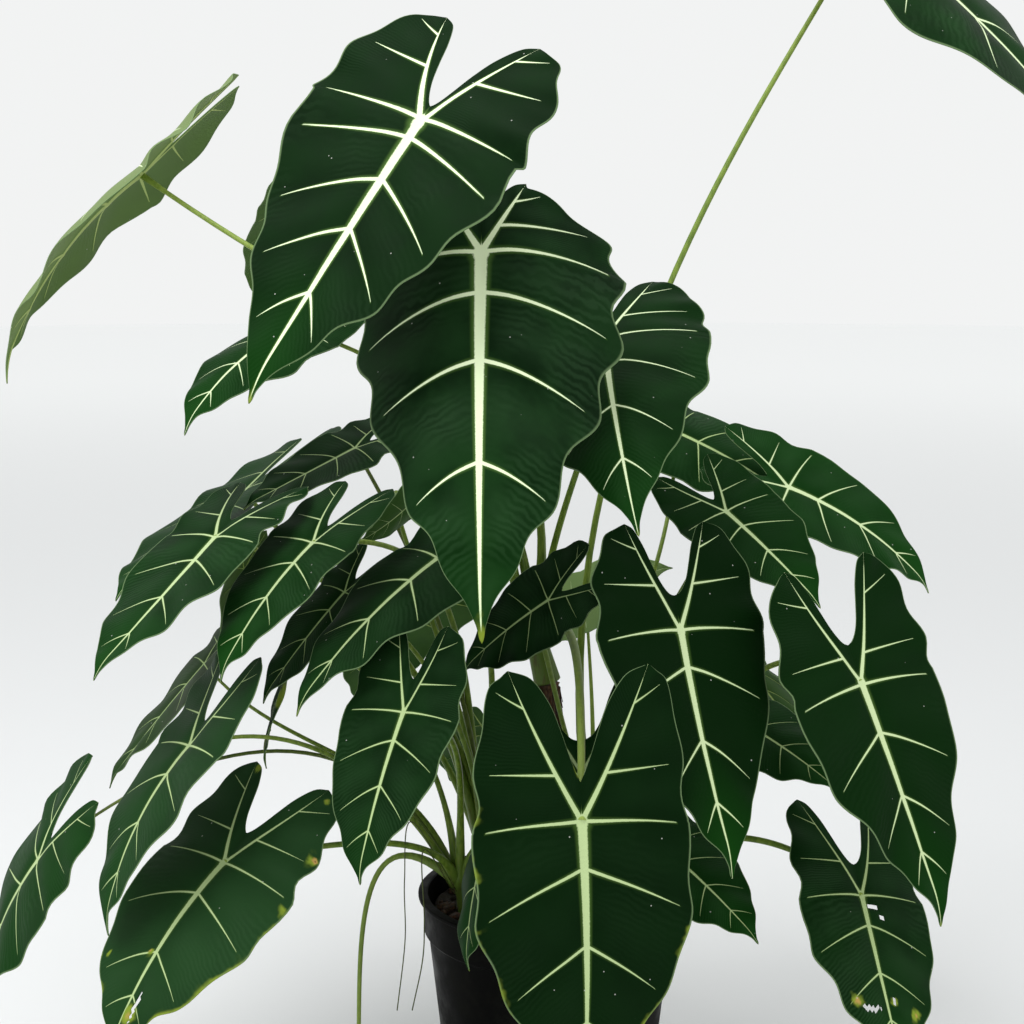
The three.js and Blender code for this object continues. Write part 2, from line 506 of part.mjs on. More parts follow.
// Potting mix: it fills the pot, with an uneven top, bark chips, and a plain hole for each stem
function soilGeometry() {
  const draw = drawFrom(7);
  const between = ([least, most]) => least + (most - least) * draw();
  const points = [];
  const triangles = [];
  const floor = FOOT_DEPTH + WALL + SOIL_GAP;
  const outer = (z) => (potInside(z) - SOIL_GAP) * Math.cos(Math.PI / POT_SIDES);
  const ring = (radius, height) => {
    for (let k = 0; k < SOIL_SECTORS; k += 1) {
      const angle = 2 * Math.PI * k / SOIL_SECTORS;
      points.push(radius * Math.cos(angle), radius * Math.sin(angle), height());
    }
  };
  ring(outer(floor), () => floor);
  ring(outer(POT_HEIGHT - BAND_DEPTH), () => POT_HEIGHT - BAND_DEPTH);
  for (let i = SOIL_RINGS; i > 0; i -= 1) {
    const radius = outer(SOIL_TOP - SOIL_BUMP) * i / SOIL_RINGS;
    ring(radius, () => SOIL_TOP + (i === SOIL_RINGS ? -SOIL_BUMP : SOIL_BUMP * (2 * draw() - 1)));
  }
  const rings = SOIL_RINGS + 2;
  for (let i = 0; i < rings - 1; i += 1) {
    for (let k = 0; k < SOIL_SECTORS; k += 1) {
      const a = i * SOIL_SECTORS + k;
      const b = i * SOIL_SECTORS + (k + 1) % SOIL_SECTORS;
      triangles.push(a, b, b + SOIL_SECTORS, a, b + SOIL_SECTORS, a + SOIL_SECTORS);
    }
  }
  const under = points.length / 3;
  points.push(0, 0, floor, 0, 0, SOIL_TOP + SOIL_BUMP);
  const last = (rings - 1) * SOIL_SECTORS;
  for (let k = 0; k < SOIL_SECTORS; k += 1) {
    const next = (k + 1) % SOIL_SECTORS;
    triangles.push(under, next, k, under + 1, last + k, last + next);
  }
  const heap = new THREE.BufferGeometry();
  heap.setAttribute('position', new THREE.Float32BufferAttribute(points, 3));
  heap.setIndex(triangles);
  let soil = toSolid(heap);
  for (let i = 0; i < CHIP_COUNT; i += 1) {
    const chip = new THREE.BoxGeometry(between(CHIP_LENGTH), between(CHIP_WIDTH), between(CHIP_DEPTH));
    chip.rotateX(CHIP_TILT * (2 * draw() - 1)).rotateY(CHIP_TILT * (2 * draw() - 1)).rotateZ(Math.PI * draw());
    const angle = 2 * Math.PI * draw();
    const radius = CHIP_FIELD * Math.sqrt(draw());
    chip.translate(radius * Math.cos(angle), radius * Math.sin(angle), SOIL_TOP + 1);
    soil = soil.add(toSolid(chip));
  }
  const holes = [[...STEM_FOOT, STEM_RADIUS]];
  for (const crown of Object.values(CROWNS)) {
    if (crown.foot.length === 2) holes.push([...crown.foot, crown.radius]);
  }
  for (const [x, y, radius] of holes) {
    const wide = radius + STEM_GAP;
    const hole = new THREE.CylinderGeometry(wide, wide, 2 * STEM_HOLE_DEPTH, STEM_SIDES).rotateX(Math.PI / 2);
    hole.translate(x, y, SOIL_TOP);
    soil = soil.subtract(toSolid(hole));
  }
  return toGeometry(soil);
}

// Main stem: the bare brown trunk of the oldest crown, ringed by the scars of fallen leaves
function stemGeometry() {
  const top = [...CROWNS.main.foot.slice(0, 2), MAIN_STEM_TOP];
  const foot = SOIL_TOP - STEM_HOLE_DEPTH + STEM_GAP;
  const curve = new THREE.CatmullRomCurve3([
    vector(...STEM_FOOT, foot),
    vector(...STEM_FOOT, SOIL_TOP + STEM_NECK),
    vector(STEM_FOOT[0] + 3, STEM_FOOT[1], (SOIL_TOP + top[2]) / 2),
    vector(top[0], top[1], top[2] - STEM_GAP),
  ]);
  const length = top[2] - foot;
  const scar = (share) => {
    const height = foot + share * length;
    if (height < SOIL_TOP + STEM_NECK) return STEM_RADIUS - STEM_GAP;
    return STEM_RADIUS - STEM_GAP - STEM_SCAR_DEPTH * (1 - (height / STEM_SCAR_STEP) % 1);
  };
  return taperedBar(curve, scar, STEM_SIDES, STEM_STEPS);
}

// The stalk of a leaf: it leaves its crown upright, bends over, and meets the blade from underneath
function stalkCurve(leaf, start) {
  const axes = bladeAxes(leaf);
  const end = axes.at.clone().addScaledVector(axes.out, -(RIB_THICKNESS + STALK_GAP + leaf.stalk.tip));
  const reach = start.distanceTo(end);
  const back = leaf.stalk.back ? vector(...leaf.stalk.back) : axes.out.clone().multiplyScalar(-1);
  if (!leaf.stalk.back) back.addScaledVector(axes.along, leaf.stalk.trail);
  back.normalize();
  return new THREE.CubicBezierCurve3(
    start,
    start.clone().add(vector(...leaf.stalk.lean).normalize().multiplyScalar(reach * leaf.stalk.rise)),
    end.clone().addScaledVector(back, reach * leaf.stalk.run),
    end,
  );
}

// A crown: its short core, and every stalk that grows from it
function crownGeometry(name) {
  const crown = CROWNS[name];
  const inSoil = crown.foot.length === 2;
  const foot = inSoil ? [...crown.foot, SOIL_TOP - STEM_HOLE_DEPTH + STEM_GAP] : crown.foot;
  const middle = inSoil ? [vector(...crown.foot, SOIL_TOP + STEM_NECK)] : [];
  const core = new THREE.CatmullRomCurve3([vector(...foot), ...middle, vector(...crown.top)]);
  const coreRadius = (share) => crown.radius * (1 - CROWN_TAPER * share);
  let whole = toSolid(taperedBar(core, coreRadius, STEM_SIDES, 5));
  const own = LEAVES.filter((leaf) => leaf.crown === name);
  own.forEach((leaf, i) => {
    const ring = crown.radius * STALK_RING;
    const turn = Math.atan2(leaf.at[1] - crown.top[1], leaf.at[0] - crown.top[0]);
    const start = vector(...crown.top);
    start.add(vector(ring * Math.cos(turn), ring * Math.sin(turn), STALK_STAGGER * (i % 4) - STALK_DEPTH));
    const curve = stalkCurve(leaf, start);
    const radius = (share) => {
      const sheath = SHEATH_SWELL * Math.max(0, 1 - share / SHEATH_SHARE);
      return leaf.stalk.tip + (leaf.stalk.foot - leaf.stalk.tip) * (1 - share) + sheath;
    };
    whole = whole.add(toSolid(taperedBar(curve, radius, STALK_SIDES, STALK_STEPS)));
  });
  return toGeometry(whole);
}

const MATERIALS = {
  pot: { color: 0x17181a, roughness: 0.45 },
  soil: { color: 0x2c1c13, roughness: 0.95 },
  main_stem: { color: 0x4a3222, roughness: 0.9 },
  stalk: { color: 0x7f9a45, roughness: 0.5 },
  blade: { color: 0x12351f, roughness: 0.55 },
};

const potted = new THREE.Group();

function place(name, geometry, look) {
  const material = new THREE.MeshStandardMaterial({ ...MATERIALS[look], metalness: 0 });
  const mesh = new THREE.Mesh(geometry, material);
  mesh.name = name;
  potted.add(mesh);
}

LEAVES.forEach((leaf, i) => {
  const stalk = { ...STALK_FORM, ...(leaf.large ? LARGE_STALK : SMALL_STALK) };
  const form = { ...LEAF_FORM, phase: 1.7 * i, ...leaf };
  Object.assign(leaf, form, { stalk: { ...stalk, ...leaf.stalk } });
});

place('pot', potGeometry(), 'pot');
place('soil', soilGeometry(), 'soil');
place('main_stem', stemGeometry(), 'main_stem');
for (const name of Object.keys(CROWNS)) place(`crown_${name}`, crownGeometry(name), 'stalk');
for (const leaf of LEAVES) place(leaf.name, bladeGeometry(leaf), 'blade');

export default potted;
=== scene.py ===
import math
import bpy
import numpy as np
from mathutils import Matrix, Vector


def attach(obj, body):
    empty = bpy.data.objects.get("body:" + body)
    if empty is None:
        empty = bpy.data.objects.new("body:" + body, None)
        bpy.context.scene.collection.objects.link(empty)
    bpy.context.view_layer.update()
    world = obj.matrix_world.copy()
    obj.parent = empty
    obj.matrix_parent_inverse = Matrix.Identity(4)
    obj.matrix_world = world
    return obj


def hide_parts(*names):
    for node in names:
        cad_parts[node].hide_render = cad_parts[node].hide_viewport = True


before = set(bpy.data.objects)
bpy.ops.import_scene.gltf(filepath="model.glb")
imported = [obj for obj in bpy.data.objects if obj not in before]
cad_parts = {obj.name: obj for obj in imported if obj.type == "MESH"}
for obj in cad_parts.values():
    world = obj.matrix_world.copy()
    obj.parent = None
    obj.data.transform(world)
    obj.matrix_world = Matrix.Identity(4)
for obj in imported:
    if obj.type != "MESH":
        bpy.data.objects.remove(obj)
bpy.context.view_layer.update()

# The camera stands in front of the pot, 1.7 m away and 0.86 m up, and looks nine degrees down.
CAMERA_PLACE = (-0.036, -1.680, 0.859)
CAMERA_PITCH = math.radians(9)
CAMERA_LENS = 64.97

camera = bpy.data.objects.new("camera", bpy.data.cameras.new("camera"))
bpy.context.scene.collection.objects.link(camera)
camera.location = CAMERA_PLACE
camera.rotation_euler = (math.pi / 2 - CAMERA_PITCH, 0, 0)
camera.data.sensor_width = 36
camera.data.lens = CAMERA_LENS
camera.data.clip_end = 100
bpy.context.scene.camera = camera
bpy.context.scene.view_settings.view_transform = "Standard"


# Nursery pot: one thin-walled black plastic moulding with a deeper band under a flat lip. It stands on a
# ring and a pad, and six drain holes go through the floor between them. Dust dulls the outside.
POT_HEIGHT = 0.230
RIM_RADIUS = 0.125
BASE_RADIUS = 0.094
WALL = 0.003
BAND_FOOT = POT_HEIGHT - 0.036
BAND_STEP = 0.0035
LIP_WIDTH = 0.009
LIP_DEPTH = 0.004
FOOT_DEPTH = 0.004
POT_SIDES = 120
DRAIN_HOLES = 6
DRAIN_HOLE_RADIUS = 0.007
DRAIN_CIRCLE = 0.062
DRILL_SIDES = 16
DRILL_REACH = 0.02
CORNER_RADIUS = 0.0012


def pot_wall(height):
    """Outer radius of the pot's wall."""
    return BASE_RADIUS + (RIM_RADIUS - LIP_WIDTH / 2 - BASE_RADIUS) / POT_HEIGHT * height


def rounded(profile, radius):
    """A profile with each of its corners cut by a small round."""
    points = [profile[0]]
    for before, corner, after in zip(profile, profile[1:], profile[2:]):
        corner = np.array(corner)
        to_before = np.array(before) - corner
        to_after = np.array(after) - corner
        reach = min(radius, 0.45 * np.linalg.norm(to_before), 0.45 * np.linalg.norm(to_after))
        start = corner + to_before / np.linalg.norm(to_before) * reach
        end = corner + to_after / np.linalg.norm(to_after) * reach
        for share in (0, 0.25, 0.5, 0.75, 1):
            on_first = start + (corner - start) * share
            on_second = corner + (end - corner) * share
            points.append(tuple(on_first + (on_second - on_first) * share))
    points.append(profile[-1])
    return points


def new_piece(name, points, faces, *materials):
    """A mesh object with smooth faces, riding on the one body."""
    mesh = bpy.data.meshes.new(name)
    mesh.from_pydata([tuple(p) for p in points], [], faces)
    mesh.update()
    mesh.shade_smooth()
    for material in materials:
        mesh.materials.append(material)
    piece = bpy.data.objects.new(name, mesh)
    bpy.context.scene.collection.objects.link(piece)
    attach(piece, "root")
    return piece


class Finish:
    """A node material under construction: its nodes, and short ways to make and join them."""

    def __init__(self, name):
        self.material = bpy.data.materials.new(name)
        self.material.use_nodes = True
        self.tree = self.material.node_tree
        self.shader = self.tree.nodes["Principled BSDF"]

    def node(self, kind, **inputs):
        made = self.tree.nodes.new("ShaderNode" + kind)
        for name, value in inputs.items():
            self.feed(made, name.replace("_", " "), value)
        return made

    def feed(self, node, socket, value):
        """Sets a socket to a value, or joins it to another node's output."""
        if isinstance(value, bpy.types.NodeSocket):
            self.tree.links.new(value, node.inputs[socket])
        else:
            node.inputs[socket].default_value = value

    def surface(self, **inputs):
        """Feeds the shader itself."""
        for name, value in inputs.items():
            self.feed(self.shader, name.replace("_", " "), value)

    def number(self, operation, *values):
        """A number worked out from one or two others."""
        made = self.tree.nodes.new("ShaderNodeMath")
        made.operation = operation
        for i, value in enumerate(values):
            self.feed(made, i, value)
        return made.outputs[0]

    def plus(self, first, second):
        return self.number("ADD", first, second)

    def times(self, first, second):
        return self.number("MULTIPLY", first, second)

    def ramp(self, value, low, high, to_low=0.0, to_high=1.0):
        """value, eased from to_low at low to to_high at high."""
        made = self.tree.nodes.new("ShaderNodeMapRange")
        made.interpolation_type = "SMOOTHSTEP"
        for i, entry in enumerate((value, low, high, to_low, to_high)):
            self.feed(made, i, entry)
        return made.outputs[0]

    def mix(self, share, first, second):
        made = self.tree.nodes.new("ShaderNodeMix")
        made.data_type = "RGBA"
        self.feed(made, 0, share)
        self.feed(made, 6, colour(first))
        self.feed(made, 7, colour(second))
        return made.outputs[2]

    def coated(self, base, *coats):
        """A colour with coats of others over it, each with its share."""
        for share, tint in coats:
            base = self.mix(share, base, tint)
        return base

    def noise(self, scale, detail=3.0, rough=0.5, where=None):
        made = self.node("TexNoise", Scale=scale, Detail=detail, Roughness=rough)
        self.feed(made, "Vector", where or self.place())
        return made.outputs[0]

    def place(self):
        return self.tree.nodes.new("ShaderNodeTexCoord").outputs["Object"]

    def mark(self, name):
        """A number that the mesh carries at each of its points."""
        made = self.tree.nodes.new("ShaderNodeAttribute")
        made.attribute_name = name
        return made.outputs["Fac"]

    def bump(self, height, depth, strength=1.0):
        made = self.node("Bump", Height=height, Distance=depth, Strength=strength)
        self.feed(self.shader, "Normal", made.outputs[0])


def colour(value):
    return (*value, 1.0) if isinstance(value, tuple) and len(value) == 3 else value


plastic = Finish("dusty black plastic")
dust = plastic.noise(34, 5, 0.62)
scuffs = plastic.noise(210, 2, 0.5)
powder = plastic.ramp(dust, 0.46, 0.72)
plastic.surface(
    Base_Color=plastic.mix(powder, (0.0010, 0.0011, 0.0009), (0.0050, 0.0052, 0.0040)),
    Specular_IOR_Level=0.035,
    Roughness=plastic.ramp(dust, 0.3, 0.7, 0.34, 0.62),
)
plastic.bump(scuffs, 0.0002, 0.5)

pot_profile = rounded([
    (0.0, 0.0),
    (0.038, 0.0),
    (0.042, FOOT_DEPTH),
    (BASE_RADIUS - 0.016, FOOT_DEPTH),
    (BASE_RADIUS - 0.012, 0.0),
    (BASE_RADIUS - 0.002, 0.0),
    (pot_wall(FOOT_DEPTH), FOOT_DEPTH),
    (pot_wall(BAND_FOOT) - 0.001, BAND_FOOT - 0.004),
    (pot_wall(BAND_FOOT) + BAND_STEP, BAND_FOOT),
    (RIM_RADIUS - LIP_WIDTH + WALL + 0.001, POT_HEIGHT - LIP_DEPTH),
    (RIM_RADIUS, POT_HEIGHT - LIP_DEPTH),
    (RIM_RADIUS, POT_HEIGHT),
    (RIM_RADIUS - LIP_WIDTH, POT_HEIGHT),
    (pot_wall(BAND_FOOT) - WALL - 0.001, BAND_FOOT),
    (pot_wall(FOOT_DEPTH + WALL) - WALL, FOOT_DEPTH + WALL),
    (0.0, FOOT_DEPTH + WALL),
], CORNER_RADIUS)


def between_rings(count, sides, first=0):
    """Faces between rings of points that follow each other."""
    faces = []
    for i in range(count - 1):
        for k in range(sides):
            a, b = first + i * sides + k, first + i * sides + (k + 1) % sides
            faces.append((a, b, b + sides, a + sides))
    return faces


def turned(profile, sides):
    """Points and faces of a profile turned about the upright axis, closed on the axis at both ends."""
    rows = [(radius, height) for radius, height in profile if radius > 1e-6]
    points = [(0.0, 0.0, profile[0][1]), (0.0, 0.0, profile[-1][1])]
    for radius, height in rows:
        for k in range(sides):
            angle = 2 * math.pi * k / sides
            points.append((radius * math.cos(angle), radius * math.sin(angle), height))
    faces = between_rings(len(rows), sides, 2)
    last = 2 + (len(rows) - 1) * sides
    for k in range(sides):
        following = (k + 1) % sides
        faces.append((0, 2 + following, 2 + k))
        faces.append((1, last + k, last + following))
    return points, faces


pot = new_piece("nursery_pot", *turned(pot_profile, POT_SIDES), plastic.material)


def pierced(piece, centres, radius, height):
    """Drills round upright holes through a piece."""
    sides = DRILL_SIDES
    for x, y in centres:
        angles = np.arange(sides) * 2 * math.pi / sides
        ring = [(x + radius * math.cos(a), y + radius * math.sin(a)) for a in angles]
        points = [(*place, z) for z in (-height, height) for place in ring]
        ends = [tuple(range(sides - 1, -1, -1)), tuple(range(sides, 2 * sides))]
        mesh = bpy.data.meshes.new("drill")
        mesh.from_pydata(points, [], between_rings(2, sides) + ends)
        drill = bpy.data.objects.new("drill", mesh)
        bpy.context.scene.collection.objects.link(drill)
        cut = piece.modifiers.new("hole", "BOOLEAN")
        cut.operation = "DIFFERENCE"
        cut.solver = "EXACT"
        cut.object = drill
        settle(piece)
        bpy.data.objects.remove(drill)


def settle(piece):
    """Makes a piece's modifiers part of its mesh."""
    seen = piece.evaluated_get(bpy.context.evaluated_depsgraph_get())
    mesh = bpy.data.meshes.new_from_object(seen)
    piece.modifiers.clear()
    piece.data = mesh


drain_angles = [2 * math.pi * (i + 0.5) / DRAIN_HOLES for i in range(DRAIN_HOLES)]
drain_places = [(DRAIN_CIRCLE * math.cos(a), DRAIN_CIRCLE * math.sin(a)) for a in drain_angles]
pierced(pot, drain_places, DRAIN_HOLE_RADIUS, DRILL_REACH)
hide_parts("pot")


# Potting mix: damp dark loam that fills the pot to a little under the rim and lies in soft heaps. Loose bark
# chips, fired clay grit and crumbs of loam lie on top of it.
SOIL_TOP = 0.211
SOIL_BUMP = 0.003
SOIL_RADIUS = 0.1105
SOIL_FLOOR = 0.0075
SOIL_FLOOR_RADIUS = 0.0905
SOIL_RINGS = 46
SOIL_SECTORS = 128
CRUMB_COUNT = 620
CRUMB_SPREAD = 0.104
# Kinds of crumb in the shares they lie in, and each kind's tint mark, sizes and flatness.
CRUMB_SHARES = ["bark", "bark", "loam", "loam", "loam", "clay"]
CRUMB_TINTS = {"bark": 0.2, "clay": 0.8, "loam": 0.5}
CRUMB_SIZES = {"bark": (0.003, 0.0085), "clay": (0.0015, 0.0042), "loam": (0.0015, 0.0042)}
CRUMB_FLATNESS = {"bark": (0.35, 0.55), "clay": (0.6, 0.9), "loam": (0.6, 0.9)}
CRUMB_WIDTHS = (0.5, 0.9)
CRUMB_LEANS = (-0.5, 0.5)
CRUMB_DENTS = (0.78, 1.15)
CRUMB_LIFT = 0.35


def soil_height(x, y):
    """Lie of the mix's top: soft heaps and small crumbs."""
    heaps = math.sin(61 * x + 1.3) * math.cos(53 * y - 0.4) * 0.5 + math.sin(128 * x - 97 * y) * 0.3
    crumbs = math.sin(433 * x + 2.1 * math.sin(391 * y)) * math.sin(467 * y + 1.7 * math.sin(350 * x)) * 0.3
    return SOIL_TOP + SOIL_BUMP * (heaps + crumbs)


def crumb(draw, x, y, size, flat):
    """Points and faces of one rough chip that lies on the mix."""
    cube = [(a, b, c) for a in (-1, 0, 1) for b in (-1, 0, 1) for c in (-1, 0, 1)]
    index = {corner: i for i, corner in enumerate(cube)}
    stretch = (size, size * draw.uniform(*CRUMB_WIDTHS), size * flat)
    turn, lean = draw.uniform(0, 2 * math.pi), draw.uniform(*CRUMB_LEANS)
    points = []
    for corner in cube:
        away = max(math.sqrt(sum(v * v for v in corner)), 0.6)
        px, py, pz = (v / away ** 0.6 * s * draw.uniform(*CRUMB_DENTS) for v, s in zip(corner, stretch))
        px, pz = px * math.cos(lean) - pz * math.sin(lean), px * math.sin(lean) + pz * math.cos(lean)
        px, py = px * math.cos(turn) - py * math.sin(turn), px * math.sin(turn) + py * math.cos(turn)
        points.append((x + px, y + py, soil_height(x, y) + CRUMB_LIFT * size * flat + pz))
    faces = []
    for axis in range(3):
        one, two = [k for k in range(3) if k != axis]
        for side in (-1, 1):
            for i, j in ((-1, -1), (-1, 0), (0, -1), (0, 0)):
                face = []
                for di, dj in ((0, 0), (1, 0), (1, 1), (0, 1)):
                    corner = [0, 0, 0]
                    corner[axis], corner[one], corner[two] = side, i + di, j + dj
                    face.append(index[tuple(corner)])
                faces.append(face if (side > 0) == (axis != 1) else face[::-1])
    return points, faces


def joined(points, faces, more_points, more_faces):
    """Adds the points and faces of a further part to those of a piece."""
    faces += [tuple(len(points) + k for k in face) for face in more_faces]
    points += more_points


soil_profile = [(SOIL_FLOOR_RADIUS * (k / 4), SOIL_FLOOR) for k in range(5)]
soil_profile += [(SOIL_RADIUS * (1 - k / SOIL_RINGS), SOIL_TOP) for k in range(SOIL_RINGS + 1)]
soil_points, soil_faces = turned(soil_profile, SOIL_SECTORS)
soil_points = [(x, y, soil_height(x, y) if z > 0.1 else z) for x, y, z in soil_points]
soil_tints = [CRUMB_TINTS["loam"]] * len(soil_points)
draw = np.random.RandomState(11)
for i in range(CRUMB_COUNT):
    angle, radius = draw.uniform(0, 2 * math.pi), CRUMB_SPREAD * math.sqrt(draw.uniform(0, 1))
    kind = draw.choice(CRUMB_SHARES)
    size, flat = draw.uniform(*CRUMB_SIZES[kind]), draw.uniform(*CRUMB_FLATNESS[kind])
    more, faces = crumb(draw, radius * math.cos(angle), radius * math.sin(angle), size, flat)
    joined(soil_points, soil_faces, more, faces)
    soil_tints += [CRUMB_TINTS[kind] + draw.uniform(-0.1, 0.1)] * len(more)

mix = Finish("damp bark and loam mix")
tint = mix.mark("tint")
grain = mix.noise(420, 4, 0.6)
loam = mix.mix(mix.ramp(grain, 0.35, 0.7), (0.009, 0.006, 0.004), (0.035, 0.020, 0.011))
bark = mix.mix(mix.ramp(grain, 0.4, 0.65), (0.030, 0.013, 0.006), (0.105, 0.044, 0.018))
clay = mix.mix(mix.ramp(grain, 0.4, 0.7), (0.34, 0.13, 0.060), (0.50, 0.24, 0.13))
base = mix.mix(mix.ramp(tint, 0.38, 0.32), loam, bark)
mix.surface(
    Base_Color=mix.mix(mix.ramp(tint, 0.64, 0.7), base, clay),
    Roughness=mix.ramp(grain, 0.3, 0.7, 0.62, 0.95),
)
mix.bump(grain, 0.0012, 0.8)


def marked(piece, **marks):
    """Writes a number per point, or one for all, onto a piece's mesh, for its finish to read."""
    for name, values in marks.items():
        layer = piece.data.attributes.new(name, "FLOAT", "POINT")
        layer.data.foreach_set("value", np.full(len(piece.data.vertices), values, dtype=np.float32))


soil = new_piece("potting_mix", soil_points, soil_faces, mix.material)
marked(soil, tint=soil_tints)
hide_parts("soil")


# Main stem: the bare trunk of the oldest crown, thick as a thumb. Scars of fallen leaves ring it, brown
# fibres of their old sheaths cling to it, and the topmost sheath has torn into a ragged collar.
STEM_FOOT = (0.002, 0.008)
STEM_RADIUS = 0.0113
STEM_SCAR_STEP = 0.027
STEM_SCAR_DEPTH = 0.0014
STEM_BURIED = 0.1695
STEM_NECK = SOIL_TOP + 0.008
STEM_TOP = (-0.003, 0.006, 0.4295)
STEM_SIDES = 48
STEM_STEPS = 170
FLUTE_COUNT = 7
FLUTE_DEPTH = 0.00028
FIBRE_COUNT = 64
FIBRE_STEPS = 7
FIBRE_THICKNESS = 0.0005
FIBRE_WIDTHS = (0.0012, 0.0050)
FIBRE_HEIGHTS = (0.26, 0.42)
# Range of a fibre's length and of how far it curls away, in the torn collar and elsewhere.
COLLAR_FIBRE = ((0.012, 0.034), (0.0, 0.0035))
TRUNK_FIBRE = ((0.008, 0.022), (0.0, 0.0012))


def smooth_curve(controls, count):
    """Points along a round curve through the controls."""
    controls = np.array(controls)
    padded = np.vstack([2 * controls[0] - controls[1], controls, 2 * controls[-1] - controls[-2]])
    points = []
    for share in np.linspace(0, len(controls) - 1, count):
        k = min(int(share), len(controls) - 2)
        t = share - k
        p0, p1, p2, p3 = padded[k:k + 4]
        bend = 2 * p0 - 5 * p1 + 4 * p2 - p3
        points.append(0.5 * (2 * p1 + (p2 - p0) * t + bend * t * t + (3 * p1 - p0 - 3 * p2 + p3) * t ** 3))
    return np.array(points)


def along_curve(path, rings):
    """Closed bar along a path: rings(i) gives the ring's radii, evenly round it from the path's right."""
    path = np.asarray(path)
    ahead = np.gradient(path, axis=0)
    ahead /= np.linalg.norm(ahead, axis=1)[:, None]
    aside = np.cross(ahead[0], (0.3, 1.0, 0.1))
    aside /= np.linalg.norm(aside)
    points = []
    for i, middle in enumerate(path):
        aside = aside - ahead[i] * np.dot(aside, ahead[i])
        aside /= np.linalg.norm(aside)
        other = np.cross(ahead[i], aside)
        radii = np.asarray(rings(i))
        angles = 2 * math.pi * np.arange(len(radii)) / len(radii)
        spokes = np.cos(angles)[:, None] * aside + np.sin(angles)[:, None] * other
        points += list(middle + radii[:, None] * spokes)
    sides = len(radii)
    ends = [tuple(range(sides - 1, -1, -1)), tuple(range((len(path) - 1) * sides, len(path) * sides))]
    return points, between_rings(len(path), sides) + ends


stem_path = smooth_curve([
    (*STEM_FOOT, STEM_BURIED),
    (*STEM_FOOT, STEM_NECK),
    (STEM_FOOT[0] + 0.003, STEM_FOOT[1], (SOIL_TOP + STEM_TOP[2]) / 2),
    STEM_TOP,
], STEM_STEPS)
draw = np.random.RandomState(5)
stem_flutes = []
for _ in range(FLUTE_COUNT):
    stem_flutes.append((draw.randint(3, 11), draw.uniform(0, 6.3), draw.uniform(30, 160)))


def stem_ring(i):
    height = stem_path[i][2]
    scar = (height / STEM_SCAR_STEP) % 1
    ridge = STEM_SCAR_DEPTH * (math.exp(-((scar - 0.93) / 0.05) ** 2) - 0.9 * (1 - scar))
    angles = 2 * math.pi * np.arange(STEM_SIDES) / STEM_SIDES
    flutes = sum(np.sin(count * angles + shift + rate * height) for count, shift, rate in stem_flutes)
    return np.full(STEM_SIDES, STEM_RADIUS - 0.0008 + ridge) + FLUTE_DEPTH * flutes


stem_points, stem_faces = along_curve(stem_path, stem_ring)


def fibre(start, turn, length, width, curl):
    """A thin dry strip that hangs off the stem."""
    points = []
    for i in range(FIBRE_STEPS + 1):
        share = i / FIBRE_STEPS
        out = STEM_RADIUS + 0.0004 + curl * share ** 1.6
        half = 0.5 * width * (1 - share ** 2 * 0.85) / STEM_RADIUS
        sway = 0.12 * math.sin(5 * share + turn * 7)
        for side, deep in ((-1, 0.0), (1, 0.0), (1, FIBRE_THICKNESS), (-1, FIBRE_THICKNESS)):
            angle = turn + side * half + sway
            x, y = start[0] + (out + deep) * math.cos(angle), start[1] + (out + deep) * math.sin(angle)
            points.append((x, y, start[2] - length * share))
    ends = [(3, 2, 1, 0), tuple(4 * FIBRE_STEPS + k for k in range(4))]
    return points, between_rings(FIBRE_STEPS + 1, 4) + ends


collar_height = STEM_TOP[2] - 0.004
for i in range(FIBRE_COUNT):
    turn = draw.uniform(0, 2 * math.pi)
    high = draw.choice([collar_height, draw.uniform(*FIBRE_HEIGHTS)])
    middle = stem_path[int(np.argmin(abs(stem_path[:, 2] - high)))]
    lengths, curls = COLLAR_FIBRE if high == collar_height else TRUNK_FIBRE
    length, curl = draw.uniform(*lengths), draw.uniform(*curls)
    joined(stem_points, stem_faces, *fibre(middle, turn, length, draw.uniform(*FIBRE_WIDTHS), curl))

trunk = Finish("dry fibrous bark")
streaks = trunk.node("Mapping", Scale=(1.0, 1.0, 0.14))
trunk.feed(streaks, "Vector", trunk.place())
fibres = trunk.noise(520, 5, 0.65, streaks.outputs[0])
patches = trunk.noise(46, 3, 0.55)
husk = trunk.mix(trunk.ramp(fibres, 0.32, 0.72), (0.022, 0.010, 0.005), (0.135, 0.066, 0.028))
trunk.surface(
    Base_Color=trunk.mix(trunk.ramp(patches, 0.5, 0.68), husk, (0.19, 0.075, 0.03)),
    Roughness=trunk.ramp(fibres, 0.3, 0.7, 0.7, 0.95),
)
trunk.bump(fibres, 0.0010, 0.9)

main_stem = new_piece("main_stem_trunk", stem_points, stem_faces, trunk.material)
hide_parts("main_stem")


# Leaf stalks: five crowns, each a short core that its stalks clasp with swollen sheaths. The stalks are
# round, smooth and olive green, rise out of the crown, bend over and carry their blade from underneath.
# Stalks and blades are laid out in millimetres.
MM = 0.001
CROWN_BURIED = 169.5
NECK_HEIGHT = 219
STALK_SIDES = 14
STALK_STEPS = 34
SHEATH_SHARE = 0.25
SHEATH_SWELL = 2.5
SHEATH_CIRCLE = 0.35
SHEATH_DEPTH = 14
SHEATH_STEP = 2
GROOVE_DEPTH = 0.16
FLARE_START = 0.965
CORE_SIDES = 24
CORE_STEPS = 24
CORE_TAPER = 0.25
CORE_GAP = 0.985
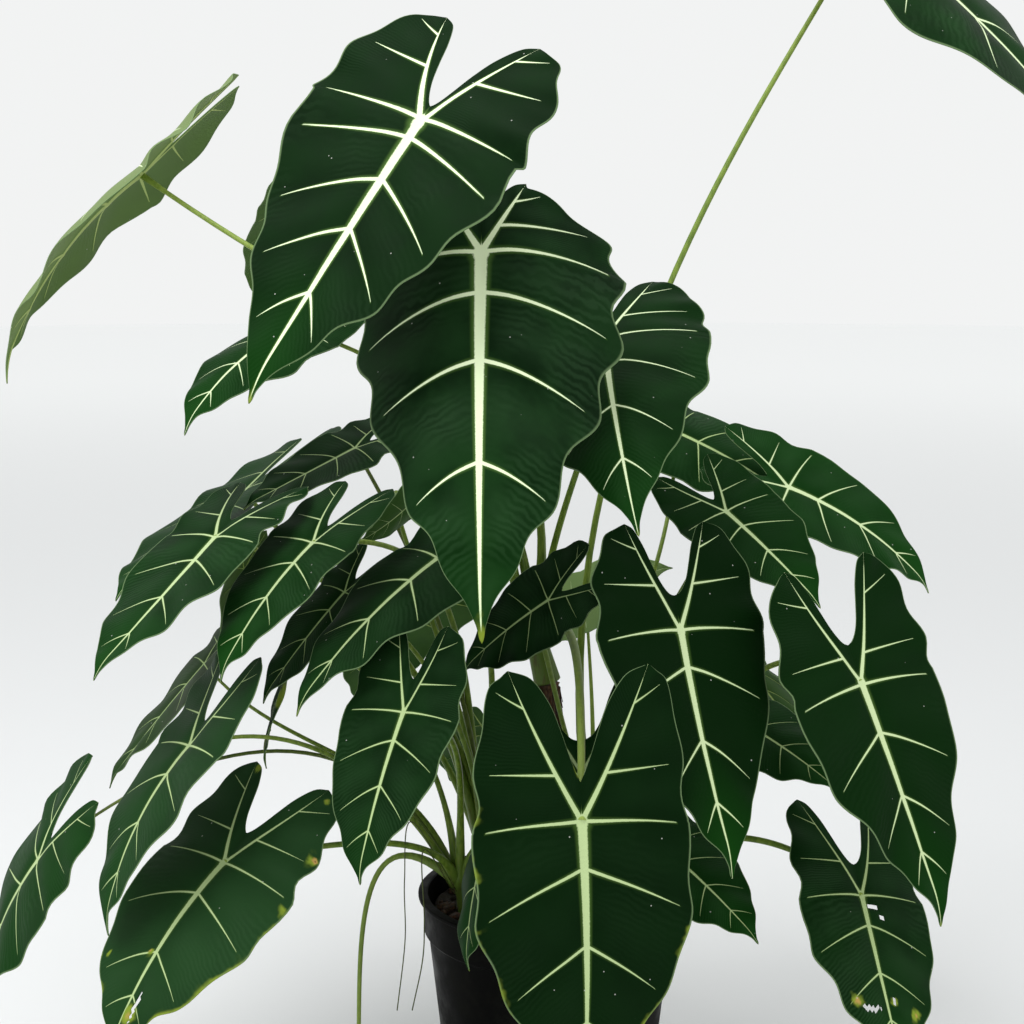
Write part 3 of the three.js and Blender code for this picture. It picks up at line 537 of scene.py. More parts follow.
# Two dry roots, thin as string, have grown out of the left crown and hang over the rim.
ROOT_RADIUS = 0.6
ROOT_SIDES = 6
ROOT_STEPS = 40
HANGING_ROOTS = [
    [(-88, -22, 236), (-128, -52, 314), (-135, -52, 258), (-135, -52, 200), (-143, -52, 131)],
    [(-90, -18, 232), (-117, -52, 287), (-117, -52, 219), (-119, -52, 180), (-129, -52, 131)],
]
# Marks of a crown's core and of a root: place along the stalk, age and light.
CORE_MARKS = (0.02, 0.25, 0.0)
ROOT_MARKS = (0.3, 0.8, 0.0)
# Above 0: how pale a stalk grows towards its blade. Below 0: how brown with age it is.
STALK_TONES = {"main_1": 0.35, "main_2": 0.3, "main_7": 0.75, "main_9": 0.5, "left_9": -0.5, "left_16": 0.45,
               "left_3": -0.6, "back_1": 0.8, "main_4": 0.3, "right_2": 0.2, "right_9": 0.2}
CROWNS = {
    "main": dict(foot=(-3, 6, 432), top=(-14, 4, 474), radius=13),
    "left_high": dict(foot=(-52, 42, CROWN_BURIED), top=(-60, 44, 262), radius=14),
    "left_low": dict(foot=(-76, -10, CROWN_BURIED), top=(-84, -14, 252), radius=14),
    "right_high": dict(foot=(36, 48, CROWN_BURIED), top=(40, 52, 266), radius=14),
    "right_low": dict(foot=(66, -12, CROWN_BURIED), top=(72, -16, 252), radius=13),
}
# A leaf's form where it doesn't say its own. roll turns the blade about its midrib, in degrees. The shape is
# in shares of the length from stalk to tip.
LEAF_FORM = dict(roll=0, wide=0.38, lobe=0.48, spread=0.23, sinus=0.08, full=0.5, bow=0.04, droop=0.3, lift=0,
                 shoulder=1, cup=0.75, sweep=1, scallop=0.011, veins=(-0.72, -0.33, 0, 0.17, 0.44, 0.7))
STALK_FORM = dict(rise=0.4, run=0.3, lean=(0, 0, 1), trail=-0.2)
WAVE_TURN = 1.7


def grow(name, crown, at, tip, large=False, stalk=(), **form):
    """One leaf, with whatever it doesn't say for itself filled in."""
    thick = dict(foot=3.6, tip=2.2) if large else dict(foot=3.0, tip=1.8)
    stalk = {**STALK_FORM, **thick, **dict(stalk)}
    told = dict(name=name, crown=crown, at=at, tip=tip, large=large, stalk=stalk)
    return {**LEAF_FORM, **form, **told}


# Every leaf by its crown, the place where the stalk meets the blade, and the place of its drip tip.
LEAVES = [
    grow("main_1", "main", (-110, -180, 935), (-245, -245, 720), large=True, roll=32, wide=0.42, lobe=0.38,
         spread=0.19, sinus=0.01, full=0, droop=0, bow=0.01, lift=-0.5,
         veins=(-0.8, -0.48, -0.04, 0.055, 0.21, 0.39, 0.62), stalk=dict(lean=(-0.3, 0.15, 1))),
    grow("main_2", "main", (-61, -168, 833), (-60, -300, 540), large=True, roll=-6, wide=0.34, lobe=0.21,
         spread=0.11, sinus=0.1, full=0.1, droop=1.1, lift=-0.8, shoulder=3.2, sweep=0.6, scallop=0.018,
         veins=(-0.7, -0.35, 0, 0.115, 0.3, 0.565, 0.78), stalk=dict(lean=(-0.35, 0, 1))),
    grow("main_3", "main", (45, -55, 755), (65, -215, 610), large=True, roll=-19, wide=0.41, lobe=0.38,
         full=0.2, droop=0.4, bow=0.1, lift=-0.2),
    grow("main_4", "main", (-380, 60, 900), (-500, -5, 715), large=True, roll=-25, wide=0.29, lobe=0.55,
         spread=0.07, droop=0.5, bow=0.08, lift=-0.1,
         stalk=dict(lean=(0.2, 0.1, 1), rise=0.47, back=(0.9, -0.4, -0.6), run=0.6)),
    grow("main_5", "main", (-265, 190, 865), (-300, 235, 775), roll=10),
    grow("main_6", "main", (-240, 20, 760), (-325, -70, 675), roll=5, full=0.6, droop=0.4, bow=0.08,
         stalk=dict(lean=(0.1, 0.1, 1), rise=0.39, back=(1.4, 0.3, -0.3), run=0.37)),
    grow("main_7", "main", (19, -282, 391), (22, -292, 166), large=True, roll=-6, wide=0.375, lobe=0.54,
         spread=0.25, sinus=0.07, full=1.3, droop=0.1, bow=0.06, lift=0.1, cup=1,
         veins=(-0.75, -0.31, 0, 0.16, 0.43, 0.71),
         stalk=dict(lean=(0.5, -0.7, 1), rise=0.43, back=(0, 0.8, 0.9), run=0.22, foot=4.4, tip=2.8)),
    grow("main_8", "main", (-5, -120, 535), (-80, -90, 465), roll=51, wide=0.4, lobe=0.51, full=0.6,
         droop=0.1),
    grow("main_9", "main", (24, -148, 389), (28, -160, 215), wide=0.36, spread=0.26, sinus=0.11, cup=0.5,
         full=0.7, droop=0.1),
    grow("left_1", "left_high", (-300, 120, 595), (-400, -30, 520), large=True, roll=-18, wide=0.4,
         lobe=0.62, spread=0.12, full=0.6, droop=0, bow=0.01),
    grow("left_2", "left_high", (-300, -60, 580), (-390, -170, 480), large=True, roll=-4, wide=0.36,
         lobe=0.47, spread=0.27, full=0.8, droop=0, bow=0, lift=-0.3,
         stalk=dict(lean=(-0.2, 0.1, 1), rise=0.59, back=(0.5, 1.3, -0.4), run=0.41)),
    grow("left_3", "left_high", (-185, 60, 645), (-285, 5, 597), roll=11, full=0.7, droop=0, bow=0,
         lift=-0.1),
    grow("left_4", "left_high", (-210, -90, 580), (-285, -160, 475), large=True, lobe=0.52, wide=0.39,
         full=0.6, droop=0, bow=0.05, lift=-0.2,
         stalk=dict(lean=(-0.1, 0.3, 1), rise=0.58, back=(1.4, 1.3, 0), run=0.45)),
    grow("left_5", "left_high", (-188, -36, 525), (-261, -75, 433), roll=6, lobe=0.42, droop=0.1, bow=0.02),
    grow("left_6", "left_high", (-100, -110, 570), (-220, -175, 450), large=True, roll=6, wide=0.37,
         full=0.2, droop=0.2, bow=0.05),
    grow("left_7", "left_low", (-330, 40, 440), (-420, 5, 330), roll=-5, droop=0.1, bow=0.01, lift=-0.1,
         stalk=dict(lean=(-0.3, 0.3, 1), rise=0.43, back=(1.1, 0.1, -1.5), run=0.38, tip=1.4)),
    grow("left_8", "left_low", (-315, -135, 410), (-380, -200, 265), large=True, roll=-14, lobe=0.53,
         full=0.4, droop=0.1, bow=0.08, lift=0.1,
         stalk=dict(lean=(-0.4, -0.1, 1), rise=0.2, back=(0.9, 0.9, 0.1), run=0.51, tip=1.6)),
    grow("left_9", "left_low", (-470, -60, 280), (-535, -25, 120), large=True, roll=47, wide=0.42, lobe=0.55,
         spread=0.21, full=0.7, droop=0.2, bow=0.07, lift=-0.2,
         stalk=dict(lean=(-0.5, 0.4, 1), rise=0.63, back=(0.6, 0.9, 0.5), foot=2.4, tip=1.2)),
    grow("left_10", "left_low", (-285, -150, 310), (-370, -240, 180), large=True, roll=11, wide=0.41,
         lobe=0.55, spread=0.24, sinus=0.12, full=1.2, bow=0.08, veins=(-0.7, -0.3, 0, 0.19, 0.52, 0.74),
         stalk=dict(lean=(-0.2, -0.5, 1), rise=0.28, back=(1.6, 1.4, -0.1), run=0.56)),
    grow("left_11", "left_low", (-125, -210, 460), (-160, -270, 335), large=True, roll=-10, wide=0.42,
         lobe=0.52, spread=0.19, sinus=0.15, full=0.7, droop=0, bow=0.03, lift=0.2),
    grow("left_12", "left_low", (-54, -118, 336), (-77, -138, 206), roll=-15, wide=0.37, full=0.6,
         droop=0.6),
    grow("left_13", "left_high", (-130, 0, 600), (-175, -30, 570), roll=120),
    grow("left_14", "left_high", (-285, 0, 540), (-300, -15, 462), roll=-75, wide=0.3,
         stalk=dict(lean=(-0.4, 0.8, 1), rise=0.47, back=(0.4, 0.3, -0.3), run=0.27)),
    grow("left_15", "left_low", (-235, 0, 468), (-268, -20, 355), roll=-20, wide=0.17, lobe=0.2, spread=0.1,
         sinus=0.04, droop=0.8),
    grow("left_16", "left_low", (-180, -75, 82), (-210, -112, 14), lobe=0.4, droop=0.1,
         stalk=dict(lean=(-1.2, 0.2, 1), rise=0.75, back=(0, 0.9, 0.3), run=0.48)),
    grow("right_1", "right_low", (105, -170, 520), (145, -255, 335), large=True, roll=8, wide=0.41,
         lobe=0.44, spread=0.2, sinus=0.095, cup=0.55, full=0, droop=0, bow=-0.02, lift=0.1,
         veins=(-0.76, -0.42, 0, 0.15, 0.45, 0.7)),
    grow("right_2", "right_low", (265, -130, 465), (330, -195, 270), large=True, roll=-11, wide=0.39,
         lobe=0.5, spread=0.22, sinus=0.1, cup=0.6, full=0, droop=0, bow=0.01, lift=0.1,
         veins=(-0.68, -0.22, 0.01, 0.21, 0.47, 0.7),
         stalk=dict(lean=(0.4, 0.3, 1), rise=0.45, back=(-1, 1.1, 0.6), run=0.43)),
    grow("right_3", "right_low", (275, -110, 265), (295, -215, 145), large=True, roll=17, wide=0.4,
         lobe=0.59, spread=0.24, sinus=0.12, cup=0.6, full=0.9, droop=0.1, bow=0, lift=-0.2,
         stalk=dict(lean=(0.9, 0, 1), rise=0.54, back=(-0.7, 0.8, 0.6), run=0.24)),
    grow("right_4", "right_high", (235, 110, 600), (375, 95, 500), large=True, roll=-32, wide=0.37, full=0.3,
         droop=0, bow=0.08, lift=-0.1,
         stalk=dict(lean=(0.3, 0, 1), rise=0.28, back=(-0.5, 0.1, -0.7), run=0.39)),
    grow("right_5", "right_high", (160, -10, 595), (235, -95, 525), roll=-20, wide=0.4, lobe=0.5, droop=0,
         bow=0.02, lift=0.1),
    grow("right_6", "right_high", (130, 200, 645), (262, 165, 569), roll=-28,
         stalk=dict(back=(0, -1.4, -1.3), run=0.41)),
    grow("right_7", "right_low", (180, 40, 385), (265, -40, 340), roll=-21, wide=0.4),
    grow("right_8", "right_low", (100, -100, 305), (175, -180, 250), roll=-19, wide=0.4),
    grow("right_9", "right_high", (304, 170, 1140), (517, 90, 912), large=True, roll=-14,
         stalk=dict(lean=(-0.2, 0.1, 1), rise=0.45, back=(-0.5, -0.1, -1), run=0.17)),
    grow("back_1", "right_high", (38, 150, 478), (122, 118, 520), roll=-40, wide=0.45, droop=0,
         stalk=dict(lean=(0.1, 0.4, 1), rise=0.37, back=(0.1, -0.4, -1.6), run=0.33, tip=1.3)),
    grow("back_2", "left_high", (-130, 170, 470), (-200, 270, 330), large=True),
    grow("back_3", "right_high", (190, 160, 420), (270, 230, 310)),
    grow("back_4", "left_high", (-60, 180, 330), (-80, 260, 230)),
]
for i, leaf in enumerate(LEAVES):
    leaf["phase"] = WAVE_TURN * i


def unit(vector):
    vector = np.array(vector, dtype=float)
    return vector / np.linalg.norm(vector)


def blade_axes(leaf):
    """Along the midrib, across it, out of the upper face, and the length."""
    at = np.array(leaf["at"], dtype=float)
    along = np.array(leaf["tip"], dtype=float) - at
    length = np.linalg.norm(along)
    along /= length
    level = unit(np.cross(along, (0, 0, 1)))
    face = np.cross(level, along)
    roll = math.radians(leaf["roll"])
    across = math.cos(roll) * level + math.sin(roll) * face
    out = math.cos(roll) * face - math.sin(roll) * level
    return at, along, across, out, length


def stalk_path(leaf, start):
    """The stalk's bend, from its crown to the underside of its blade."""
    at, along, across, out, length = blade_axes(leaf)
    stalk = leaf["stalk"]
    reach = np.linalg.norm(start - (at - out * (2.6 + stalk["tip"])))
    end = at - out * 1.6
    back = unit(stalk["back"] if "back" in stalk else stalk["trail"] * along - out)
    first = start + unit(stalk["lean"]) * reach * stalk["rise"]
    second = end + back * reach * stalk["run"]
    share = np.linspace(0, 1, STALK_STEPS)[:, None]
    rest = 1 - share
    bend = 3 * rest ** 2 * share * first + 3 * rest * share ** 2 * second
    return rest ** 3 * start + bend + share ** 3 * end


def stalk_ring(stalk, share, turn):
    """A stalk's outline: round, but flattened and grooved where the sheath is."""
    sheath = max(0.0, 1 - share / SHEATH_SHARE)
    radius = stalk["tip"] + (stalk["foot"] - stalk["tip"]) * (1 - share) + SHEATH_SWELL * sheath ** 1.3
    flare = 0.5 * max(0.0, (share - FLARE_START) / (1 - FLARE_START)) ** 2
    angles = 2 * math.pi * np.arange(STALK_SIDES) / STALK_SIDES
    groove = GROOVE_DEPTH * min(1.0, 3 * sheath + 0.12) * np.exp(-((np.cos(angles - turn) - 1) / 0.16) ** 2)
    return MM * radius * (1 + flare - groove + 0.05 * sheath * np.cos(2 * (angles - turn)))


rind = Finish("olive leaf stalk")
run = rind.mark("run")
age = rind.mark("age")
light = rind.mark("light")
long_grain = rind.node("Mapping", Scale=(1.0, 1.0, 0.22))
rind.feed(long_grain, "Vector", rind.place())
streak = rind.noise(300, 3, 0.5, long_grain.outputs[0])
green = rind.mix(rind.ramp(streak, 0.35, 0.65), (0.090, 0.165, 0.014), (0.170, 0.260, 0.028))
pale = rind.mix(rind.ramp(streak, 0.3, 0.7), (0.24, 0.35, 0.050), (0.36, 0.47, 0.10))
sheath_skin = rind.mix(rind.ramp(streak, 0.48, 0.68), (0.12, 0.21, 0.030), (0.095, 0.085, 0.026))
shaft = rind.coated(
    green,
    (rind.ramp(run, 0.55, 1.0, 0.0, 0.75), pale),
    (rind.ramp(run, 0.0, 0.16, 0.8, 0.0), sheath_skin),
    (light, (0.34, 0.46, 0.10)),
    (age, (0.050, 0.055, 0.018)),
)
rind.surface(
    Base_Color=shaft,
    Roughness=rind.ramp(streak, 0.2, 0.8, 0.34, 0.5),
    Specular_IOR_Level=0.25,
    Subsurface_Weight=0.12,
    Subsurface_Radius=(0.003, 0.004, 0.001),
)
rind.bump(streak, 0.0003, 0.5)

for name, crown in CROWNS.items():
    foot, top = np.array(crown["foot"], dtype=float), np.array(crown["top"], dtype=float)
    core = [foot, top] if name == "main" else [foot, (*foot[:2], NECK_HEIGHT), top]
    core_path = smooth_curve(core, CORE_STEPS)
    core_radii = MM * CORE_GAP * crown["radius"] * np.linspace(1, 1 - CORE_TAPER, CORE_STEPS)
    points, faces = along_curve(core_path * MM, lambda i: np.full(CORE_SIDES, core_radii[i]))
    runs, ages, lights = ([value] * len(points) for value in CORE_MARKS)
    own = [leaf for leaf in LEAVES if leaf["crown"] == name]
    for i, leaf in enumerate(own):
        turn = math.atan2(leaf["at"][1] - top[1], leaf["at"][0] - top[0])
        ring = crown["radius"] * SHEATH_CIRCLE
        start = top + (ring * math.cos(turn), ring * math.sin(turn), SHEATH_STEP * (i % 4) - SHEATH_DEPTH)
        shares = np.linspace(0, 1, STALK_STEPS)
        path = stalk_path(leaf, start) * MM
        joined(points, faces, *along_curve(path, lambda k: stalk_ring(leaf["stalk"], shares[k], turn)))
        run_here = np.repeat(shares, STALK_SIDES)
        tone = STALK_TONES.get(leaf["name"], 0.0)
        runs += list(run_here)
        ages += [max(-tone, 0.1)] * len(run_here)
        lights += list(max(tone, 0.0) * run_here ** 0.6)
    for hang in HANGING_ROOTS if name == "left_low" else ():
        path = smooth_curve(hang, ROOT_STEPS) * MM
        joined(points, faces, *along_curve(path, lambda k: np.full(ROOT_SIDES, MM * ROOT_RADIUS)))
        for marks, value in zip((runs, ages, lights), ROOT_MARKS):
            marks += [value] * ROOT_STEPS * ROOT_SIDES
    piece = new_piece("stalks_" + name, points, faces, rind.material)
    marked(piece, run=runs, age=ages, light=lights)
    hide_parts("crown_" + name)


# Leaf blades: arrow-shaped, thin as card and velvety, with waved edges and a drip tip. Cream veins run from
# the stalk to both back lobes and the tip, side veins leave them in pairs, and the blade is quilted between.
BLADE_THICKNESS = 0.8
RIB_THICKNESS = 2.2
# How a leaf looks where it doesn't say its own. strong widens its veins and cream whitens them. fresh and
# tip_green brighten the green, deep darkens it, the dust-and-sheen mark greys it with dust and a painted
# sheen, and pale bleaches it, with a half lit by painted light on side -1.
PLAIN_LOOK = dict(
    strong=1.0, cream=0.2, fresh=0.15, tip_green=0.3, deep=0.0, dusty=0.0, pale=0.0, painted_light_half=0.0,
    tip_yellow=0.5, yellow_edge=(), spots=(), holes=(),
)
# Blemishes lie on side 1 or -1 of the midrib, in shares of the blade's length: a yellow edge runs from one
# place to another, a spot has a place, a size and how burnt it is, a hole a place and two half widths.
LOOKS = {
    "main_1": dict(strong=1.15, cream=1.0, deep=0.6, fresh=0.0, tip_green=0.6, tip_yellow=0.9),
    "main_2": dict(strong=1.05, cream=1.0, fresh=0.0, tip_yellow=1.0),
    "main_3": dict(strong=0.9, cream=0.9, deep=0.35, fresh=0.1, tip_green=0.4, tip_yellow=0.8),
    # main_4's underside is tinted lighter on side -1: painted light.
    "main_4": dict(strong=1.35, cream=0.8, fresh=0.3, pale=0.2, painted_light_half=0.22),
    "main_5": dict(cream=0.5, fresh=0.3, pale=0.1),
    "main_6": dict(cream=0.8, fresh=0.25, tip_green=0.5),
    "main_7": dict(strong=1.1, deep=0.8, fresh=0.0, tip_green=0.1,
                   yellow_edge=[(1, -0.2, 0.5, 0.5), (-1, 0.15, 0.7, 0.55)]),
    "main_8": dict(strong=0.75, cream=0.1, fresh=0.0),
    "left_1": dict(strong=0.9, cream=0.25, dusty=0.1, fresh=0.3),
    "left_2": dict(cream=0.3, tip_green=0.5),
    "left_3": dict(strong=0.9, fresh=0.1),
    "left_4": dict(cream=0.3, fresh=0.2, tip_green=0.5),
    "left_5": dict(strong=0.8, cream=0.05, fresh=0.1),
    "left_6": dict(deep=0.2, fresh=0.05, tip_green=0.2),
    "left_7": dict(strong=0.8, cream=0.05, fresh=0.05, pale=0.04),
    "left_8": dict(cream=0.15, dusty=0.25, fresh=0.2, tip_green=0.4),
    "left_9": dict(fresh=0.4),
    "left_10": dict(cream=0.15, dusty=0.4, tip_green=0.1,
                    yellow_edge=[(-1, -0.05, 0.8, 0.62), (1, 0.4, 0.85, 0.62)],
                    spots=[(-1, -0.2, 0.385, 0.017, 1.0), (-1, -0.49, 0.27, 0.012, 0.6),
                           (1, -0.52, 0.2, 0.012, 0.5), (1, 0.29, 0.18, 0.007, 0.8),
                           (1, 0.53, 0.03, 0.01, 0.6), (1, 0.62, 0.24, 0.009, 0.5),
                           (-1, 0.09, 0.405, 0.01, 0.5), (-1, 0.83, 0.03, 0.03, 0.5)],
                    holes=[(-1, 0.78, 0.045, 0.075, 0.011)]),
    "left_11": dict(cream=0.15, deep=0.3, fresh=0.05),
    "left_12": dict(strong=0.8, cream=0.1, fresh=0.25),
    "left_13": dict(strong=0.8, cream=0.1, fresh=1.0, pale=0.1),
    "left_14": dict(strong=0.7, cream=0.05, pale=0.1),
    "left_15": dict(strong=0.6, cream=0.0, fresh=0.0,
                    spots=[(-1, 0.42, 0.12, 0.06, 0.2), (1, 1.0, 0.0, 0.12, 0.7)]),
    "right_1": dict(strong=1.05, cream=0.45, deep=1.0, fresh=0.04, tip_green=0.6),
    "right_2": dict(cream=0.4, deep=0.85, fresh=0.1, tip_green=0.4),
    "right_3": dict(cream=0.1, deep=0.15, fresh=0.1,
                    holes=[(-1, 0.065, 0.058, 0.009, 0.036), (-1, 0.135, 0.108, 0.026, 0.015),
                           (-1, 0.6, 0.045, 0.02, 0.008), (1, 0.64, 0.1, 0.016, 0.06)],
                    spots=[(1, 0.6, 0.19, 0.026, 0.75), (-1, 0.68, 0.16, 0.02, 0.6),
                           (-1, 0.6, 0.045, 0.015, 0.5)]),
    "right_4": dict(cream=0.5, fresh=0.35, tip_green=0.4),
    "right_5": dict(cream=0.3, deep=0.5, fresh=0.2, tip_green=0.4),
    "right_6": dict(strong=0.9, cream=0.1, fresh=0.2),
    "right_7": dict(strong=0.8, cream=0.1, fresh=0.3),
    "right_8": dict(strong=0.8, cream=0.1, fresh=0.3),
    "right_9": dict(cream=0.9, fresh=0.1),
    "back_1": dict(strong=0.7, cream=0.4, fresh=1.0, pale=0.35),
}
QUILT_HEIGHT = 0.009
WAVE_HEIGHT = 0.016
WAVE_COUNT = 2.6
WAVE_SHIFT = 1.3
GUTTER_DEPTH = 0.012
GUTTER_WIDTH = 0.05
MARGIN_SAG = 1.6
TIP_HOOK = 1.2
TIP_START = 0.85
VEIN_BEND = 0.11
# Where the blade's mesh has its rows: one every few millimetres and close beside each vein, and across the
# blade in shares of the way from the rib to the margin.
ROW_STEP = 3.6
BESIDE_VEIN = 0.012
RIB_PARTS = (0, 0.015, 0.03, 0.05, 0.08)
MARGIN_PARTS = (0.965, 0.985, 1)
SINUS_PARTS = (0, 0.06, 0.14, 0.28, 0.46, 0.64, 0.82, 0.94, 1)
# Outline of a blade: how far forward each place on the midrib meets the margin, the half width of a broad
# and of a slim blade from stalk to tip, and the back lobe's outer margin and the one at the sinus.
VEIN_REACH = [(0, 0.03), (0.07, 0.2), (0.15, 0.33), (0.34, 0.55), (0.57, 0.745), (0.79, 0.885), (0.9, 0.95),
              (1, 1)]
FULL_LEAF = [(0, 1), (0.16, 1.03), (0.32, 1), (0.5, 0.85), (0.73, 0.54), (0.85, 0.29), (0.93, 0.1),
             (0.965, 0.034), (0.99, 0.016), (1, 0)]
SLIM_LEAF = [(0, 1), (0.12, 1), (0.25, 0.95), (0.5, 0.7), (0.73, 0.4), (0.85, 0.2), (0.93, 0.08),
             (0.965, 0.03), (0.99, 0.015), (1, 0)]
LOBE_MARGIN = [(-1, 1, 0), (-0.8, 0.93, 0.4), (-0.58, 0.7, 0.78), (-0.4, 0.48, 0.92), (-0.24, 0.28, 0.98),
               (-0.1, 0.1, 1), (0, 0, 1)]
SINUS_MARGIN = [(-1, 1, 1), (-0.8, 0.95, 0.72), (-0.58, 0.74, 0.42), (-0.4, 0.52, 0.26), (-0.24, 0.34, 0.15),
                (-0.1, 0.2, 0.05), (0, 0.14, 0)]
RIB_HALF_WIDTH = 0.0155
LOBE_RIB_SHARE = 0.55
VEIN_HALF_WIDTH = 0.0058
# Where side veins fade out on their way to the margin, in front and on the back lobes.
VEIN_END = 0.9
LOBE_VEIN_END = 0.8
LAST_VEIN_START = 0.76
KNOT = 1.35
NO_VEIN = 9.0


def follow(rows, place, column=1):
    """Reads a smooth curve through rows of (place, value)."""
    x = np.array([row[0] for row in rows], dtype=float)
    y = np.array([row[column] for row in rows], dtype=float)
    slope = np.diff(y) / np.diff(x)
    product = slope[:-1] * slope[1:]
    joint = np.where(product > 0, slope[:-1] + slope[1:], 1)
    bend = np.concatenate([slope[:1], np.where(product > 0, 2 * product / joint, 0), slope[-1:]])
    i = np.clip(np.searchsorted(x, place) - 1, 0, len(x) - 2)
    span = x[i + 1] - x[i]
    u = (place - x[i]) / span
    a, b, p, q = y[i], y[i + 1], bend[i] * span, bend[i + 1] * span
    return a + u * (p + u * (3 * (b - a) - 2 * p - q + u * (p + q - 2 * (b - a))))


def between_veins(leaf, place):
    """Where each place lies between the two side veins around it, from 0 to 1."""
    stops = np.array([-1, *leaf["veins"], 1], dtype=float)
    low = np.clip(np.searchsorted(stops, place, side="right") - 1, 0, len(stops) - 2)
    return (place - stops[low]) / (stops[low + 1] - stops[low])


def flat_point(leaf, place, part, inner):
    """A point of the flat half blade: part runs from the rib to the margin."""
    back = np.maximum(-place, 0)
    rib_x = np.where(place >= 0, place, -leaf["lobe"] * back)
    rib_y = leaf["spread"] * back * (1 + 0.2 * (1 - back))
    if inner:
        edge_x = -leaf["sinus"] - (leaf["lobe"] - leaf["sinus"]) * follow(SINUS_MARGIN, place, 1)
        edge_y = leaf["spread"] * np.maximum(follow(SINUS_MARGIN, place, 2), 0) ** leaf["cup"]
        grown, curve = 1, 0
    else:
        ahead = np.maximum(place, 0)
        reach = ahead + (follow(VEIN_REACH, ahead) - ahead) * leaf["sweep"]
        half = leaf["full"] * follow(FULL_LEAF, reach) + (1 - leaf["full"]) * follow(SLIM_LEAF, reach)
        behind = np.minimum(place, 0)
        way = follow(LOBE_MARGIN, behind, 1)
        out = np.maximum(follow(LOBE_MARGIN, behind, 2), 0) ** leaf["shoulder"]
        lobe_y = leaf["spread"] + (leaf["wide"] - leaf["spread"]) * out
        lobe_x = VEIN_REACH[0][1] * leaf["sweep"] * (1 - way) - leaf["lobe"] * way
        edge_x = np.where(place >= 0, reach, lobe_x)
        edge_y = np.where(place >= 0, leaf["wide"] * half, lobe_y)
        swing = leaf["scallop"] * (1 - place ** 2) * np.cos(2 * math.pi * between_veins(leaf, place))
        grown = 1 + swing / np.maximum(np.hypot(edge_x - rib_x, edge_y - rib_y), 2 * leaf["scallop"])
        middle = np.clip(1 - place, 0, 1) * np.clip(1 + place, 0, 1)
        curve = VEIN_BEND * part * (1 - part) * middle * (0.35 + place)
    return rib_x + (edge_x - rib_x) * part * grown - curve, rib_y + (edge_y - rib_y) * part * grown


def blade_height(leaf, side, place, part, inner, x, y):
    """Height over the flat blade: its bow and droop, the gutter of the rib, quilting and waved margin."""
    arch = np.where(x >= 0, 4 * leaf["bow"] * x * (1 - x), 2 * leaf["bow"] * x + leaf["lift"] * x * x)
    hook = -TIP_HOOK * np.maximum(x - TIP_START, 0) ** 2
    sag = -MARGIN_SAG * leaf["droop"] * y * y
    gutter = GUTTER_DEPTH * (1 - np.exp(-((y / GUTTER_WIDTH) ** 2)))
    quilt = QUILT_HEIGHT * np.sin(math.pi * between_veins(leaf, place)) ** 2 * 4 * part * (1 - 0.6 * part)
    wave = WAVE_HEIGHT * part ** 2 * (1 - place ** 2) * np.sin(
        2 * math.pi * WAVE_COUNT * place + leaf["phase"] + side * WAVE_SHIFT)
    return arch + hook + sag + gutter + (0 if inner else 0.5) * quilt + (0 if inner else 1) * wave


def vein_marks(leaf, place, part, inner):
    """How far each point lies from the ribs and from the side veins, in half widths of the vein."""
    strong = leaf["strong"]
    x, y = flat_point(leaf, place, part, inner)
    back = np.maximum(-place, 0)
    rib_x, rib_y = flat_point(leaf, place, np.zeros_like(part), inner)
    ahead = (place >= 0) & (not inner)
    run_x = np.where(ahead, 1.0, leaf["lobe"])
    run_y = np.where(ahead, 0.0, -leaf["spread"] * (1.2 - 0.4 * back))
    away = abs((x - rib_x) * run_y - (y - rib_y) * run_x) / np.hypot(run_x, run_y)
    lobe_taper = LOBE_RIB_SHARE * (np.clip(1 - back / 0.93, 0, 1) ** 0.8 + 0.02)
    taper = np.where(place >= 0, np.maximum(1 - place, 0) ** 0.9 + 0.05, lobe_taper)
    rib = away / (RIB_HALF_WIDTH * strong * taper)
    rib = np.minimum(rib, np.hypot(x - 0.004, y) / (RIB_HALF_WIDTH * strong * KNOT))
    vein = np.full_like(rib, NO_VEIN)
    for start in leaf["veins"]:
        if start > LAST_VEIN_START or inner:
            continue
        here = np.full_like(place, float(start))
        near_x, near_y = flat_point(leaf, here, part, inner)
        next_x, next_y = flat_point(leaf, here, part + 0.01, inner)
        step = np.hypot(next_x - near_x, next_y - near_y) + 1e-9
        gap = abs((x - near_x) * (next_y - near_y) - (y - near_y) * (next_x - near_x)) / step
        end = VEIN_END if start >= -0.1 else LOBE_VEIN_END
        share = 1 - 0.45 * start if start >= -0.1 else 0.72 if start > -0.6 else 0.5
        half = VEIN_HALF_WIDTH * strong * share * (np.clip(1 - part / end, 0, 1) ** 0.7 + 1e-3)
        vein = np.minimum(vein, np.where(part < end, gap / half, NO_VEIN))
    return np.minimum(rib, NO_VEIN), np.minimum(vein, NO_VEIN)


